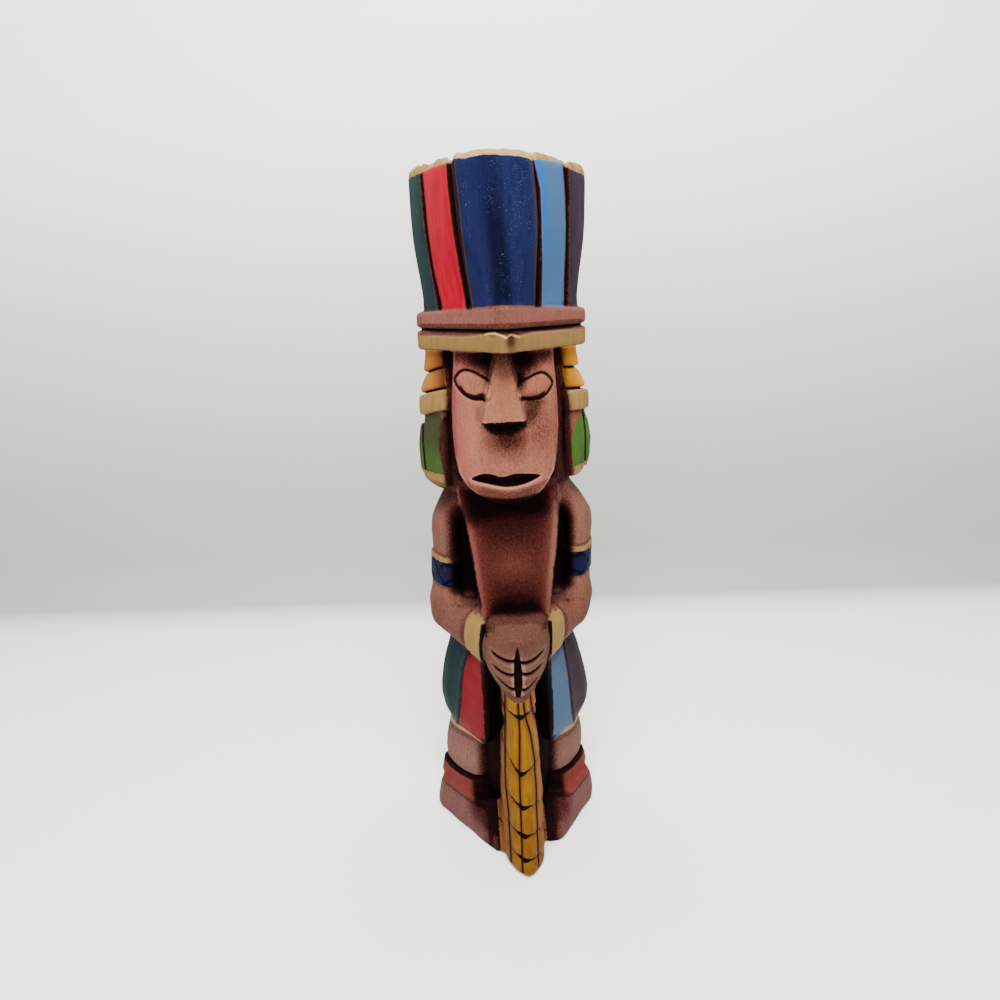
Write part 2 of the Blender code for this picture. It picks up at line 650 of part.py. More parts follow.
def skirt_corners(half, edge, fore):
    return [(edge, fore, 2.5), (edge - 3.5, fore - 9, 3), (SKIRT_INNER, 20, 2),
            (SKIRT_INNER, -BACK + 2, 2), (half * 0.76, -BACK, 7), (half, -1, 10)]


def make_skirt(group):
    for side, hand in ((-1, "left"), (1, "right")):
        rings, path = [], []
        for z, left, right, edge, fore in SKIRT_LEVELS:
            half = left if side < 0 else right
            climb = -HEM_CLIMB if z < HEM_TOP else 0.0
            rings.append(level(skirt_corners(half, edge, fore), z, 3, side, climb))
            x = between(SKIRT_SEAM[side], z)
            ahead = -1 + (fore + 1) * (half - x) / (half - edge)
            path.append((side * (x - SEAM_SINK[0]), ahead - SEAM_SINK[1], z, side * 0.83, 0.56))
        loft(f"skirt_{hand}", rings, "red_paint", group)
        groove(f"skirt_seam_{hand}", path, SEAM_CUT, group)


LEG_AXIS = (-0.56, 0.83)
LEG_FORE = 2.0
CALF_LEVELS = [  # height, outer reach in x, half-length, half-thickness
    (66, 34.0, 17.0, 9.0), (56, 37.6, 19.4, 11.4), (45, 40.4, 20.4, 12.4),
    (35, 41.0, 20.0, 12.2), (ANKLET_TOP + 1.6, 40.0, 18.8, 11.4), (ANKLET_TOP, 38.2, 17.6, 10.2),
    (24, 38.0, 17.4, 10.0)]
ANKLET_LEVELS = [(ANKLET_TOP + 0.2, 39.8, 18.4, 10.8), (ANKLET_TOP - 1.4, 42.6, 20.6, 12.4),
                 (FOOT_TOP + 1, 44.0, 21.4, 13.2), (FOOT_TOP - 0.6, 42.6, 20.6, 12.4),
                 (FOOT_TOP - 6, 42.6, 20.6, 12.4)]
FOOT_SHAPE = {  # for each side: the toe's inner and outer corner, and the side corner, on the floor
    -1: ((7.0, 48.4), (15.0, 48.0), (49.6, -2.6)),
    1: ((8.0, 42.0), (21.4, 42.6), (50.0, 0.4))}
FOOT_LEVELS = [  # height, how far the toe draws back, how far the outer corner draws in
    (-3.0, 0.0, 1.2), (0.8, 0.0, 0.4), (4.0, 0.4, 0.0), (9.0, 3.2, 0.6), (15.5, 10.5, 1.8),
    (FOOT_TOP + 1.5, 18.5, 4.4)]


def make_legs(group):
    for side, hand in ((-1, "left"), (1, "right")):
        rings = [limb_ring(side, LEG_AXIS, LEG_FORE, *row) for row in CALF_LEVELS]
        loft(f"calf_{hand}", rings, "stained_wood", group)
        rings = [limb_ring(side, LEG_AXIS, LEG_FORE, *row) for row in ANKLET_LEVELS]
        loft(f"anklet_{hand}", rings, "red_paint", group)
        inner, outer, corner = FOOT_SHAPE[side]
        foot = []
        for z, back, draw in FOOT_LEVELS:
            foot.append(level([(inner[0], inner[1] - back, 2),
                               (outer[0] + back * 0.55, outer[1] - back, 3),
                               (corner[0] - draw, corner[1] + draw, 8),
                               (37 - draw, -BACK, 6), (10, -BACK, 2)], z, 3, side))
        loft(f"foot_{hand}", foot, "stained_wood", group)


# Where its rows of feathers end on the front ridge; each end falls away towards the back
STAFF_ROWS = [128.0, 89.7, 59.2, 41.0, 25.2, 11.2, -4.0]
STAFF_FALL = 0.38
RIDGE_FORE = 61.0
STAFF_STEP = 0.9       # how far each row's end stands out over the next
STAFF_TOP = 104.0      # the staff narrows up to here, where the hands take it
STAFF_HALF = (8.4, 11.4)       # half-width at the top and below
STAFF_TIP = (59.6, 72.0)       # fore of its ridge at the top and on the floor
STAFF_ROOT = 24.0


def staff_ring(z, grow):
    """A pointed arch in plan, blunter at the top; grow swells it for the feathers' ends."""
    share = max(min((STAFF_TOP - z) / STAFF_TOP, 1.0), 0.0)
    half = STAFF_HALF[0] + (STAFF_HALF[1] - STAFF_HALF[0]) * min(share * 1.9, 1.0) + grow
    tip = STAFF_TIP[0] + (STAFF_TIP[1] - STAFF_TIP[0]) * share + grow
    shoulder = tip - 10.0 - 6.0 * share
    corners = [(half - 1.5, STAFF_ROOT, 1), (half, shoulder, 6), (0, tip, 6), (-half, shoulder, 6),
               (-half + 1.5, STAFF_ROOT, 1)]
    return level(corners, z - STAFF_FALL * RIDGE_FORE, 3, 1, -STAFF_FALL)


def make_staff(group):
    rings = []
    for upper, lower in zip(STAFF_ROWS, STAFF_ROWS[1:]):
        belly = upper - 0.62 * (upper - lower)
        rings += [staff_ring(upper - 0.9, -STAFF_STEP), staff_ring(belly, -0.2),
                  staff_ring(lower + 0.3, 0.0)]
    loft("staff", rings[::-1], "ochre_paint", group)


BACK_LEVELS = [(-3, 40), (18, 40), (29, 34), (44, 36), (56, 32), (76, 38), (114, 33), (130, 40),
               (141, 38), (180, 38), (200, 28), (222, 40), (240, 41), (277, 36)]   # height, half-width


def make_back(group):
    """The plain back, which runs on from the floor to the brim."""
    rings = []
    for z, half in BACK_LEVELS:
        corners = [(-half, -6, 2), (-half * 0.9, -BACK - 0.6, 7), (0, -BACK - 2, 16),
                   (half * 0.9, -BACK - 0.6, 7), (half, -6, 2), (0, -3, 2)]
        rings.append(level(corners, z, 2))
    loft("back", rings, "stained_wood", group)


WEB = [(-24, -BACK + 1, 3), (-18, 20, 3), (-12, 29, 3), (12, 29, 3), (18, 20, 3), (24, -BACK + 1, 3)]
WEB_HEIGHTS = (-3.0, 60.0, 110.0)


def make_web(group):
    """The wood left standing between the legs, behind the staff."""
    loft("web", [level(WEB, z, 3) for z in WEB_HEIGHTS], "dark_recess", group)


FLOOR_CUT = Vector((0.2, 0.2, 0.02))      # metres


def make_floor_cut(group):
    bm = bmesh.new()
    bmesh.ops.create_cube(bm, size=1.0)
    for vert in bm.verts:
        vert.co = vert.co * FLOOR_CUT - Vector((0.0, 0.0, FLOOR_CUT.z / 2))
    solid("floor_cut", bm, "stained_wood", group)


def carve(masses, cuts, group):
    """The trunk's first mass takes all the others, then loses every cut."""
    first = masses.objects["trunk"]
    masses.objects.unlink(first)
    group.objects.link(first)
    first.name = "carved_figure"
    first.hide_render = False
    first.display_type = "SOLID"
    for name, operation, operands in (("join", "UNION", masses), ("cut", "DIFFERENCE", cuts)):
        modifier = first.modifiers.new(name, "BOOLEAN")
        modifier.operation = operation
        modifier.operand_type = "COLLECTION"
        modifier.collection = operands
        modifier.solver = "EXACT"
        modifier.material_mode = "TRANSFER"
    return first


def main():
    clear_scene()
    work = collection("carved_wooden_totem")
    masses = collection("masses")
    cuts = collection("cutters")
    make_crown(masses)
    make_brim(masses)
    make_head(masses)
    make_face(masses)
    make_nose(masses)
    make_ears(masses)
    make_body(masses)
    make_arms(masses)
    make_forearms(masses)
    make_hands(masses)
    make_skirt(masses)
    make_legs(masses)
    make_staff(masses)
    make_back(masses)
    make_web(masses)
    make_eyes(cuts)
    make_mouth(cuts)
    make_hand_cuts(cuts)
    make_floor_cut(cuts)
    carve(masses, cuts, work)


main()
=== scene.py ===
import math

import bpy
import numpy as np
import openvdb
from mathutils import Matrix, Vector


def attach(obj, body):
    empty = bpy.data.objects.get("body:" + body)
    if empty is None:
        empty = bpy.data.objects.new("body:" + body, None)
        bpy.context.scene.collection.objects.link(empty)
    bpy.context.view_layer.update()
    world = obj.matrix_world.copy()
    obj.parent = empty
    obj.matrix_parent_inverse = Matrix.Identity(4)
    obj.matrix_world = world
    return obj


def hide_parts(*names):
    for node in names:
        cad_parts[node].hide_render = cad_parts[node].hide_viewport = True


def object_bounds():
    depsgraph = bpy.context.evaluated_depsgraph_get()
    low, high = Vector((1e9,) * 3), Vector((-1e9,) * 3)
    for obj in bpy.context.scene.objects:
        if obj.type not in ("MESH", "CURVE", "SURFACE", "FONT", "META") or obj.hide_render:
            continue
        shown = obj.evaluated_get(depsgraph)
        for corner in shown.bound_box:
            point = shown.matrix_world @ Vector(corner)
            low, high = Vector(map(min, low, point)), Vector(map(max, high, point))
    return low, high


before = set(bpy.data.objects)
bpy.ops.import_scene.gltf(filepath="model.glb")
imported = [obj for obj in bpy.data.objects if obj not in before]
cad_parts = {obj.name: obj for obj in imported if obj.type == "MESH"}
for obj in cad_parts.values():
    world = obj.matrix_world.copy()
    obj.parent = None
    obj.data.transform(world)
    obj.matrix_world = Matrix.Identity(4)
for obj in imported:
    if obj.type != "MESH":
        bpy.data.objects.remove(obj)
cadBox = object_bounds()
print("frame loaded")

# Lengths below are millimetres in the billet's own measure: x across, fore towards the front, z up.
billet = {
    "height": 359.0,
    "midFore": 24.6,          # what the origin stands under
    "midAcross": 0.65,
    # the carver's eye was not quite true: degrees of turn and sideways drift at each height
    "turn": [(0, 4.5), (60, 2.2), (100, 1.8), (135, 3.4), (165, 2.0), (200, 0.0), (285, 0.8),
             (293, 1.2), (310, 0.0), (325, -1.4), (340, -2.2), (359, -4.0)],
    "drift": [(0, 0.3), (55, 1.2), (80, 1.8), (120, 0.4), (150, 1.4), (180, 2.2), (205, 0.2), (359, -0.4)],
}

sculpt = {
    "voxel": 0.55, "quickVoxel": 0.9,
    "band": 6.0,               # how far from the surface the solid is measured
    "crisp": 0.6, "soft": 1.9,             # how far the knife's edges are rubbed down
    "grow": (0.12, 0.30),      # rubbing draws edges in, so crisp and soft parts are let out a little
    "reach": 3.4,              # relief is cut this near to the surface
    "triangles": 194000, "quickTriangles": 90000,
    # heights of the anklets, hem, mouth, eyes, brim and rim, where thinning goes easy
    "fineBands": [(18, 31), (51, 60), (204, 215), (246, 263), (276, 291), (351, 356)],
    # height and how far the edges are rubbed down there, from 0, as the knife left them, to 1
    "softness": [(0, 0.3), (4, 0.7), (13, 0.6), (19, 0.2), (30, 0.2), (33, 0.9), (52, 0.8), (56, 0.4),
                 (62, 0.8), (106, 0.8), (112, 0.6), (136, 0.5), (142, 0.9), (196, 0.9), (204, 0.5),
                 (208, 0.3), (216, 0.7), (268, 0.6), (271, 0.0), (291, 0.0), (294, 0.8), (351, 0.8),
                 (354, 0.1), (359, 0.1)],
}


# Small helpers for measures

def along(table, place, column=1):
    rows = sorted(table)
    return np.interp(place, [row[0] for row in rows], [row[column] for row in rows])


def ramp(value, start, end):
    share = np.clip((value - start) / (end - start), 0.0, 1.0)
    return share * share * (3 - 2 * share)


def fade(value, start, end):      # 1 up to start, 0 from end
    return 1 - ramp(value, start, end)


def hump(value, low, high, edge):
    return ramp(value, low - edge, low + edge) * fade(value, high - edge, high + edge)


def between(value, low, high):
    return (value > low) * (value < high)


def bell(offset, half):
    return np.exp(-(offset / half) ** 2)


def valley(offset, half):
    return np.clip(1 - np.abs(offset) / half, 0.0, 1.0)


def inside(*offsets):      # how far inside every one of some edges a point is
    return np.minimum.reduce(offsets)


def outlineOffset(u, v, points):      # distance to a closed line of points, negative inside it
    best = np.full(np.shape(u), 1e6)
    odd = np.zeros(np.shape(u), bool)
    for (au, av), (bu, bv) in zip(points, points[1:] + points[:1]):
        du, dv = bu - au, bv - av
        share = np.clip(((u - au) * du + (v - av) * dv) / (du * du + dv * dv), 0, 1)
        best = np.minimum(best, np.hypot(u - au - share * du, v - av - share * dv))
        if dv:
            odd ^= ((av > v) != (bv > v)) & (u < du * (v - av) / dv + au)
    return np.where(odd, -best, best)


def zigzag(value, lines):      # distance to the nearest of some lines; its sign changes at each one
    offset = lines[0] - value
    sign = -1
    for line, after in zip(lines, lines[1:] + [None]):
        gap = value - line if after is None else np.minimum(value - line, after - value)
        offset = np.where(value > line, sign * gap, offset)
        sign = -sign
    return offset


def curved(points, steps=4):      # a closed line rounded through its points
    line = []
    for i in range(len(points)):
        a, b, c, d = (np.array(points[(i + k) % len(points)], float) for k in (-1, 0, 1, 2))
        for step in range(steps):
            t = step / steps
            line.append(tuple(0.5 * (2 * b + (c - a) * t + (2 * a - 5 * b + 4 * c - d) * t ** 2
                                     + (3 * b - a - 3 * c + d) * t ** 3)))
    return line


def blended(grid, cells, parts):      # a grid's value between the eight cells round each point
    total = 0.0
    for corner in range(8):
        weight, place = 1.0, []
        for axis, (cell, part) in enumerate(zip(cells, parts)):
            bit = (corner >> axis) & 1
            weight = weight * (part if bit else 1 - part)
            place.append((cell + bit) % grid.shape[axis])
        total = total + weight * grid[tuple(place)]
    return total


def lumps(spot, size, seed, stretch=1.0):      # smooth random swelling, from -1 to 1
    lattice = np.random.default_rng(seed).uniform(-1, 1, (24, 24, 24)).astype(np.float32)
    cells, parts = [], []
    for value, unit in ((spot.x, size), (spot.fore, size), (spot.z, size * stretch)):
        place = value / unit + 100
        cell = np.floor(place).astype(np.int32)
        part = (place - cell).astype(np.float32)
        cells.append(cell)
        parts.append(part * part * (3 - 2 * part))
    return blended(lattice, cells, parts)


class Spot:      # points in the billet's measure, and which way the finished surface faces there
    def __init__(self, x, fore, z, facing=None):
        self.x, self.fore, self.z = x, fore, z
        self.side = np.where(x < 0, -1, 1)
        self.reach = np.abs(x)
        if facing is not None:
            self.outward, self.ahead, self.up = facing[:, 0] * self.side, -facing[:, 1], facing[:, 2]

    def slice(self, first, last):
        return Spot(self.x[first:last], self.fore[first:last], self.z[first:last])


def pointsOf(mesh, source="vertices", field="co"):
    points = np.empty(len(mesh.vertices) * 3, np.float32)
    getattr(mesh, source).foreach_get(field, points)
    return points.reshape(-1, 3)


def onBillet(points, facing=None):
    z = points[:, 2]
    angle = np.radians(along(billet["turn"], z))
    across = points[:, 0] + billet["midAcross"] - along(billet["drift"], z)
    ahead = billet["midFore"] - points[:, 1]
    return Spot(across * np.cos(angle) - ahead * np.sin(angle),
                across * np.sin(angle) + ahead * np.cos(angle), z, facing)


def ofSide(table, spot):      # the left side's value or the right side's
    return np.where(spot.side < 0, table[-1], table[1])


def bySide(table, spot):      # the same, at each height
    return ofSide({side: along(table[side], spot.z) for side in (-1, 1)}, spot)


# Crown

crown = {
    "low": 289.6, "climb": 0.045, "backLine": -4.0,
    # seams between the front panels: height, left edge, right edge; then where they are deepest
    "frontSeams": [
        {"edges": [(292.5, -32.0, -29.1), (310, -34.2, -32.1), (331, -35.7, -33.3), (357, -36.0, -34.0)],
         "deepest": 0.5, "depth": 1.1},
        {"edges": [(292.5, -17.4, -14.3), (308.5, -18.9, -15.3), (328, -20.0, -15.2), (342, -20.4, -15.3),
                   (354, -20.0, -15.0)], "deepest": 0.3, "depth": 1.5},
        {"edges": [(292.5, 14.2, 18.3), (307.5, 15.8, 19.4), (327, 18.6, 20.4), (341, 18.4, 20.7),
                   (353, 18.1, 19.0)], "deepest": 0.5, "depth": 1.2},
        {"edges": [(292, 31.0, 34.0), (308, 31.4, 34.4), (328.6, 32.5, 34.8), (343.5, 32.4, 35.4),
                   (352, 32.0, 35.2)], "deepest": 0.4, "depth": 1.2}],
    "backSeams": [33.0, 12.0, -11.0, -34.0], "backSeamHalf": 1.3, "backSeamDepth": 0.8,
    # the gilt chamfer's lower edge, from left to right
    "rimEdge": [(-46, 353.9), (-36, 353.9), (-34, 354.6), (-20, 353.2), (-15, 353.6), (-10, 352.8),
                (-4, 353.4), (2, 353.2), (8, 353.1), (18, 352.7), (20, 353.3), (32, 355.4), (35, 353.3),
                (46, 351.8)],
    "top": [(-46, -2), (-12.4, 56.5), (0, 61), (12.4, 56.5), (46, -2), (35.9, -14), (0, -15.5), (-35.9, -14)],
    "giltWidth": 5.0,
    "dent": (11.5, 346.8, 2.6, 0.9),      # a curved cut in the navy panel: x, height, radius and depth
}


def crownSeams(spot):
    return [[along(seam["edges"], spot.z, column) for column in (1, 2)] for seam in crown["frontSeams"]]


def carveCrown(spot):
    x, z = spot.x, spot.z
    front = ramp(spot.fore, 4, 8)
    back = fade(spot.fore, -8, -5)
    cut = -0.14 * lumps(spot, 11, 3, 5) - 0.04 * lumps(spot, 4, 4, 3)
    above = ramp(z, 289, 293)
    for seam, (left, right) in zip(crown["frontSeams"], crownSeams(spot)):
        share = (x - left) / (right - left)
        deep = seam["deepest"]
        wall = np.minimum(share / deep, (1 - share) / (1 - deep))
        cut = cut + front * above * seam["depth"] * np.clip(wall, 0, 1)
    for seam in crown["backSeams"]:
        cut = cut + back * above * crown["backSeamDepth"] * valley(x - seam, crown["backSeamHalf"] + 0.4)
    rim = ramp(z - along(crown["rimEdge"], x), -0.6, 0.8)
    cut = cut + rim * (0.25 + 0.5 * lumps(spot, 3.5, 5))
    dentX, dentZ, radius, depth = crown["dent"]
    dent = valley(np.hypot(x - dentX, (z - dentZ) * 0.8) - radius, 1.0)
    return cut + front * depth * dent * ramp(z, 343, 346)


def paintCrown(spot, coat):
    x, fore, z = spot.x, spot.fore, spot.z
    seams = crownSeams(spot)
    front = fore - crown["backLine"]
    within = inside(z - crown["low"] - crown["climb"] * np.maximum(fore, 0) + 0.2,
                    along(crown["rimEdge"], x) + 1.5 - z)
    half = crown["backSeamHalf"]
    back = crown["backSeams"]
    panels = {
        "green": np.where(front > 0, seams[0][0] - x, back[3] - half - x),
        "red": inside(x - seams[0][1], seams[1][0] - x, front),
        "navy": inside(x - seams[1][1], seams[2][0] - x, front),
        "sky": inside(x - seams[2][1], seams[3][0] - x, front),
        "plum": np.where(front > 0, x - seams[3][1], x - back[0] - half)}
    for name, right, left in zip(("green", "red", "navy"), back, back[1:]):
        behind = inside(x - left - half, right - half - x, -front)
        panels[name] = np.maximum(panels[name], behind)
    for name, panel in panels.items():
        coat.add(name, inside(panel, within))
    rim = -outlineOffset(x, fore, crown["top"])
    coat.add("gilt", inside(z - along(crown["rimEdge"], x), crown["giltWidth"] - rim))
    # the rim's top is paler, a painted highlight where it faces the light, most at the front middle
    middle = hump(x, -17, 20, 2) * (front > 0)
    coat.blend("paleGiltAndHighlight", ramp(z, 348, 352) * (0.15 + 0.55 * middle + 0.35 * lumps(spot, 2.6, 17)))
    seamDark = 0.0
    for left, right in seams:
        seamDark = np.maximum(seamDark, hump(x, left, right, 0.7))
    for seam in back:
        seamDark = np.maximum(seamDark, (front < 0) * hump(x, seam - half, seam + half, 0.6))
    body = ramp(z, 289, 292) * fade(z, 353.0, 355.5)
    coat.shade(0.84 * seamDark * body)
    # painted shade where the crown rises out of the brim
    coat.shade(0.42 * hump(z, 290.5, 293.0, 1.0) * (rim < 7))
    # the navy panel is darkest down the front ridge, in dark paint with a painted dark reflection there; the
    # sky one is brightest at its left
    ridge = hump(x, -4.5, 4.0, 2.6) * (front > 0)
    coat.blend("deepBlueAndReflection", ridge * body * (1 - 0.4 * ramp(z, 325, 345)))
    coat.blend("brightSky", fade(x - seams[2][1], 1.0, 6.5) * ramp(z, 300, 335) * (x > 10))
    coat.shade(0.16 * ramp(x - seams[3][0], -3.0, -0.5) * (x < seams[3][0]) * (z > 291))


# Brim

brim = {
    "low": 271.2, "groove": (280.2, 282.6), "ledge": 289.6,
    # the gilt band's ragged upper edge, from left to right
    "giltEdge": [(-46, 278.0), (-30.5, 278.2), (-18.9, 278.2), (-13.5, 278.7), (-8.2, 279.8), (-4.1, 280.5),
                 (0.8, 278.4), (2.8, 279.7), (6, 278.5), (15, 279.3), (46, 279.0)],
    "chips": (-10.0, 7.5),
}


def carveBrim(spot):
    z = spot.z
    cut = -0.16 * lumps(spot, 8, 7, 0.8) - 0.06 * lumps(spot, 3, 8)
    low, high = brim["groove"]
    cut = cut + 0.9 * valley(z - (low + high) / 2 + 0.15, 1.3)
    # the gilt band's upper lip is torn off in places
    lip = ramp(z - along(brim["giltEdge"], spot.x), -0.3, 0.5) * hump(z, 276, 281.5, 0.3)
    cut = cut + 0.8 * lip * ramp(spot.fore, 8, 16)
    chips = hump(spot.x, *brim["chips"], 1.5) * ramp(spot.fore, 30, 40)
    broken = ramp(lumps(spot, 2.6, 9), -0.1, 0.4) * hump(z, 277.8, 280.4, 0.7)
    return cut + 0.7 * chips * broken


def paintBrim(spot, coat):
    x, fore, z = spot.x, spot.fore, spot.z
    edge = along(brim["giltEdge"], x)
    coat.add("gilt", inside(edge - z, z - brim["low"] - 0.4))
    low, high = brim["groove"]
    around = z < high + 1.5
    coat.shade(0.95 * hump(z, low + 0.8, high - 0.8, 0.5))
    coat.shade(0.50 * ramp(z - edge, 0.0, 0.7) * around * (fore > 5))
    band = hump(z, high, brim["ledge"] + 2, 0.6)
    coat.shade(band * 0.36 * bell(x + 1, 7.0) * ramp(fore, 30, 45))
    coat.blush(band * (0.34 + 0.30 * lumps(spot, 9, 71, 0.5)))
    coat.tint("brim", hump(z, edge, brim["ledge"] + 2, 0.6))
    gilt = hump(z, brim["low"], low, 0.8)
    coat.shade(gilt * (0.50 * bell(x - 2.6, 3.0) * ramp(fore, 20, 40)))
    coat.blend("umber", gilt * ramp(fore, 20, 40) * (0.85 * bell(x - 2.8, 2.6)
               + 0.22 * bell(x + 2, 9.0)) * ramp(z, 271, 276))
    coat.shade(0.40 * hump(z, brim["low"] - 0.5, brim["low"] + 0.7, 0.5))
    # raw wood in the chips along the gilt band's torn top edge, and a pale line there that is also a painted
    # highlight on that edge
    coat.raw(hump(x, *brim["chips"], 2) * ramp(fore, 30, 40)
             * hump(z, edge - 0.9, edge + 0.2, 0.4) * (0.75 + 0.5 * lumps(spot, 1.6, 19)))


# Face

face = {
    # height, half-width, fore of the cheek edge, fore of the centre line
    "levels": [(197.8, 5.5, 43.0, 45.8), (198.8, 10.5, 40.2, 46.6), (201.2, 15.5, 37.2, 47.4),
               (204.8, 19.8, 34.0, 48.0), (211.0, 23.6, 31.0, 48.2), (220.0, 25.2, 29.8, 47.8),
               (234.0, 26.0, 29.0, 47.0), (247.0, 25.6, 28.8, 46.0), (260.0, 24.6, 28.4, 45.4),
               (276.0, 23.4, 28.0, 45.0)],
    "fullness": 1.7,
    # inner corner, over the lid, outer corner, under
    "leftEye": [(-6.6, 257.1), (-10.6, 259.7), (-14.6, 261.7), (-18.6, 262.5), (-21.8, 261.1), (-24.2, 257.7),
                (-23.0, 254.5), (-19.8, 250.9), (-15.4, 248.9), (-10.6, 249.1), (-5.8, 250.9)],
    "rightEye": [(6.4, 256.5), (10.6, 258.1), (14.6, 259.7), (18.2, 260.2), (21.2, 258.5), (23.6, 254.9),
                 (22.2, 251.9), (19.2, 249.1), (15.0, 247.9), (10.2, 248.4), (5.8, 250.3)],
    # the shade that lies inside the lower edge of each eye's line
    "underEyes": [[(-22.6, 253.9), (-21.2, 255.2), (-19.0, 252.2), (-14.6, 250.9), (-10.2, 252.5),
                   (-6.0, 253.3), (-6.0, 249.9), (-10.6, 248.7), (-15.4, 248.5), (-19.8, 250.5)],
                  [(5.8, 252.3), (8.5, 250.2), (11.6, 249.5), (15.6, 249.9), (19.6, 251.5), (19.4, 249.1),
                   (15.0, 247.6), (10.2, 248.0), (5.8, 250.1)]],
    "eyeCut": (1.15, 1.0),      # half-width and depth
    "lips": [(-17.3, 209.2), (-14.2, 211.6), (-10.6, 212.9), (-6.6, 212.7), (-3.0, 211.8), (0.6, 212.6),
             (4.7, 213.1), (10.5, 212.3), (16.2, 210.4), (12.8, 208.8), (9.1, 207.9), (3.6, 207.4),
             (-2.0, 207.4), (-8.5, 208.1), (-13.2, 208.5)],
    "mouthDepth": 3.0,
    "nose": [(239.0, 10.8, 9.6), (274.5, 2.7, 1.8)],      # height, half-width, half-width of its flat front
    "noseBase": 239.0, "noseMiddle": -1.2,
    # beside the bridge, each side: x, height, reaches
    "hollows": [(-8.6, 267.0, 4.4, 5.6), (8.2, 266.2, 5.2, 8.4)], "hollowDepth": 1.5,
    # airbrushed shade, which under the nose also paints the nose's shadow: x, height, reaches, strength
    "shades": [(-10.0, 270.0, 10.5, 8.5, 1.10), (-6.5, 262.0, 4.5, 9.0, 0.80), (-20.0, 270.5, 8.0, 6.0, 0.62),
               (8.6, 269.0, 9.0, 9.0, 1.20), (7.0, 259.0, 3.6, 7.0, 0.92), (19.0, 270.5, 8.0, 7.0, 0.70),
               (14.0, 246.6, 7.0, 5.0, 0.60), (12.4, 241.5, 5.5, 8.0, 0.62), (18.0, 232.0, 11.0, 18.0, 0.40),
               (-13.2, 243.0, 2.6, 6.5, 0.34), (-9.0, 250.5, 5.5, 3.0, 0.30), (14.6, 255.0, 9.0, 5.0, 0.10),
               (-15.0, 256.0, 7.0, 5.0, 0.26), (2.0, 221.5, 12.0, 6.0, 0.32),
               (0.0, 214.0, 14.0, 3.5, 0.30), (0.8, 229.5, 12.0, 7.0, 0.66)],
    "underNose": [(-10.7, 236.4), (-7.5, 233.3), (-1.1, 231.3), (5.5, 233.1), (9.5, 235.8)],
}


def faceFore(spot):
    half, edge, centre = (along(face["levels"], spot.z, column) for column in (1, 2, 3))
    return centre - (centre - edge) * np.minimum(spot.reach / half, 1.0) ** face["fullness"]


def eyeOffset(spot):
    left = outlineOffset(spot.x, spot.z, curved(face["leftEye"]))
    right = outlineOffset(spot.x, spot.z, curved(face["rightEye"]))
    return np.minimum(left, right)


def noseHalf(z, column=1):
    return along(face["nose"], z, column)


def carveFace(spot):
    x, fore, z = spot.x, spot.fore, spot.z
    front = ramp(fore, 24, 28) * fade(spot.reach, 26.5, 28)
    cut = -0.14 * lumps(spot, 8, 11, 1.6) - 0.04 * lumps(spot, 2.6, 12)
    beside = ramp(np.abs(x - face["noseMiddle"]) - noseHalf(z), 0.2, 1.6)
    for atX, atZ, wide, tall in face["hollows"]:
        hollow = np.clip(1 - np.hypot((x - atX) / wide, (z - atZ) / tall), 0, 1)
        cut = cut + front * beside * face["hollowDepth"] * hollow ** 1.2
    eyes = (z > 245) & (z < 266) & (front > 0)
    line = np.full(z.shape, 9.0)
    line[eyes] = eyeOffset(Spot(x[eyes], fore[eyes], z[eyes]))
    half, depth = face["eyeCut"]
    cut = cut + front * depth * valley(line, half)
    # each blank eye swells a little inside its line; the lower lip stands out
    lip = bell(z - 205.6, 2.2) * fade(spot.reach, 10, 17) * (fore > 36)
    return cut - front * 0.5 * ramp(-line, 0.5, 3.5) - 0.35 * lip


def cutMouth(spot, depth):      # a slot with clean edges
    slot = -outlineOffset(spot.x, spot.z, curved(face["lips"]))
    return np.maximum(depth, inside(slot, spot.fore - faceFore(spot) + face["mouthDepth"]))


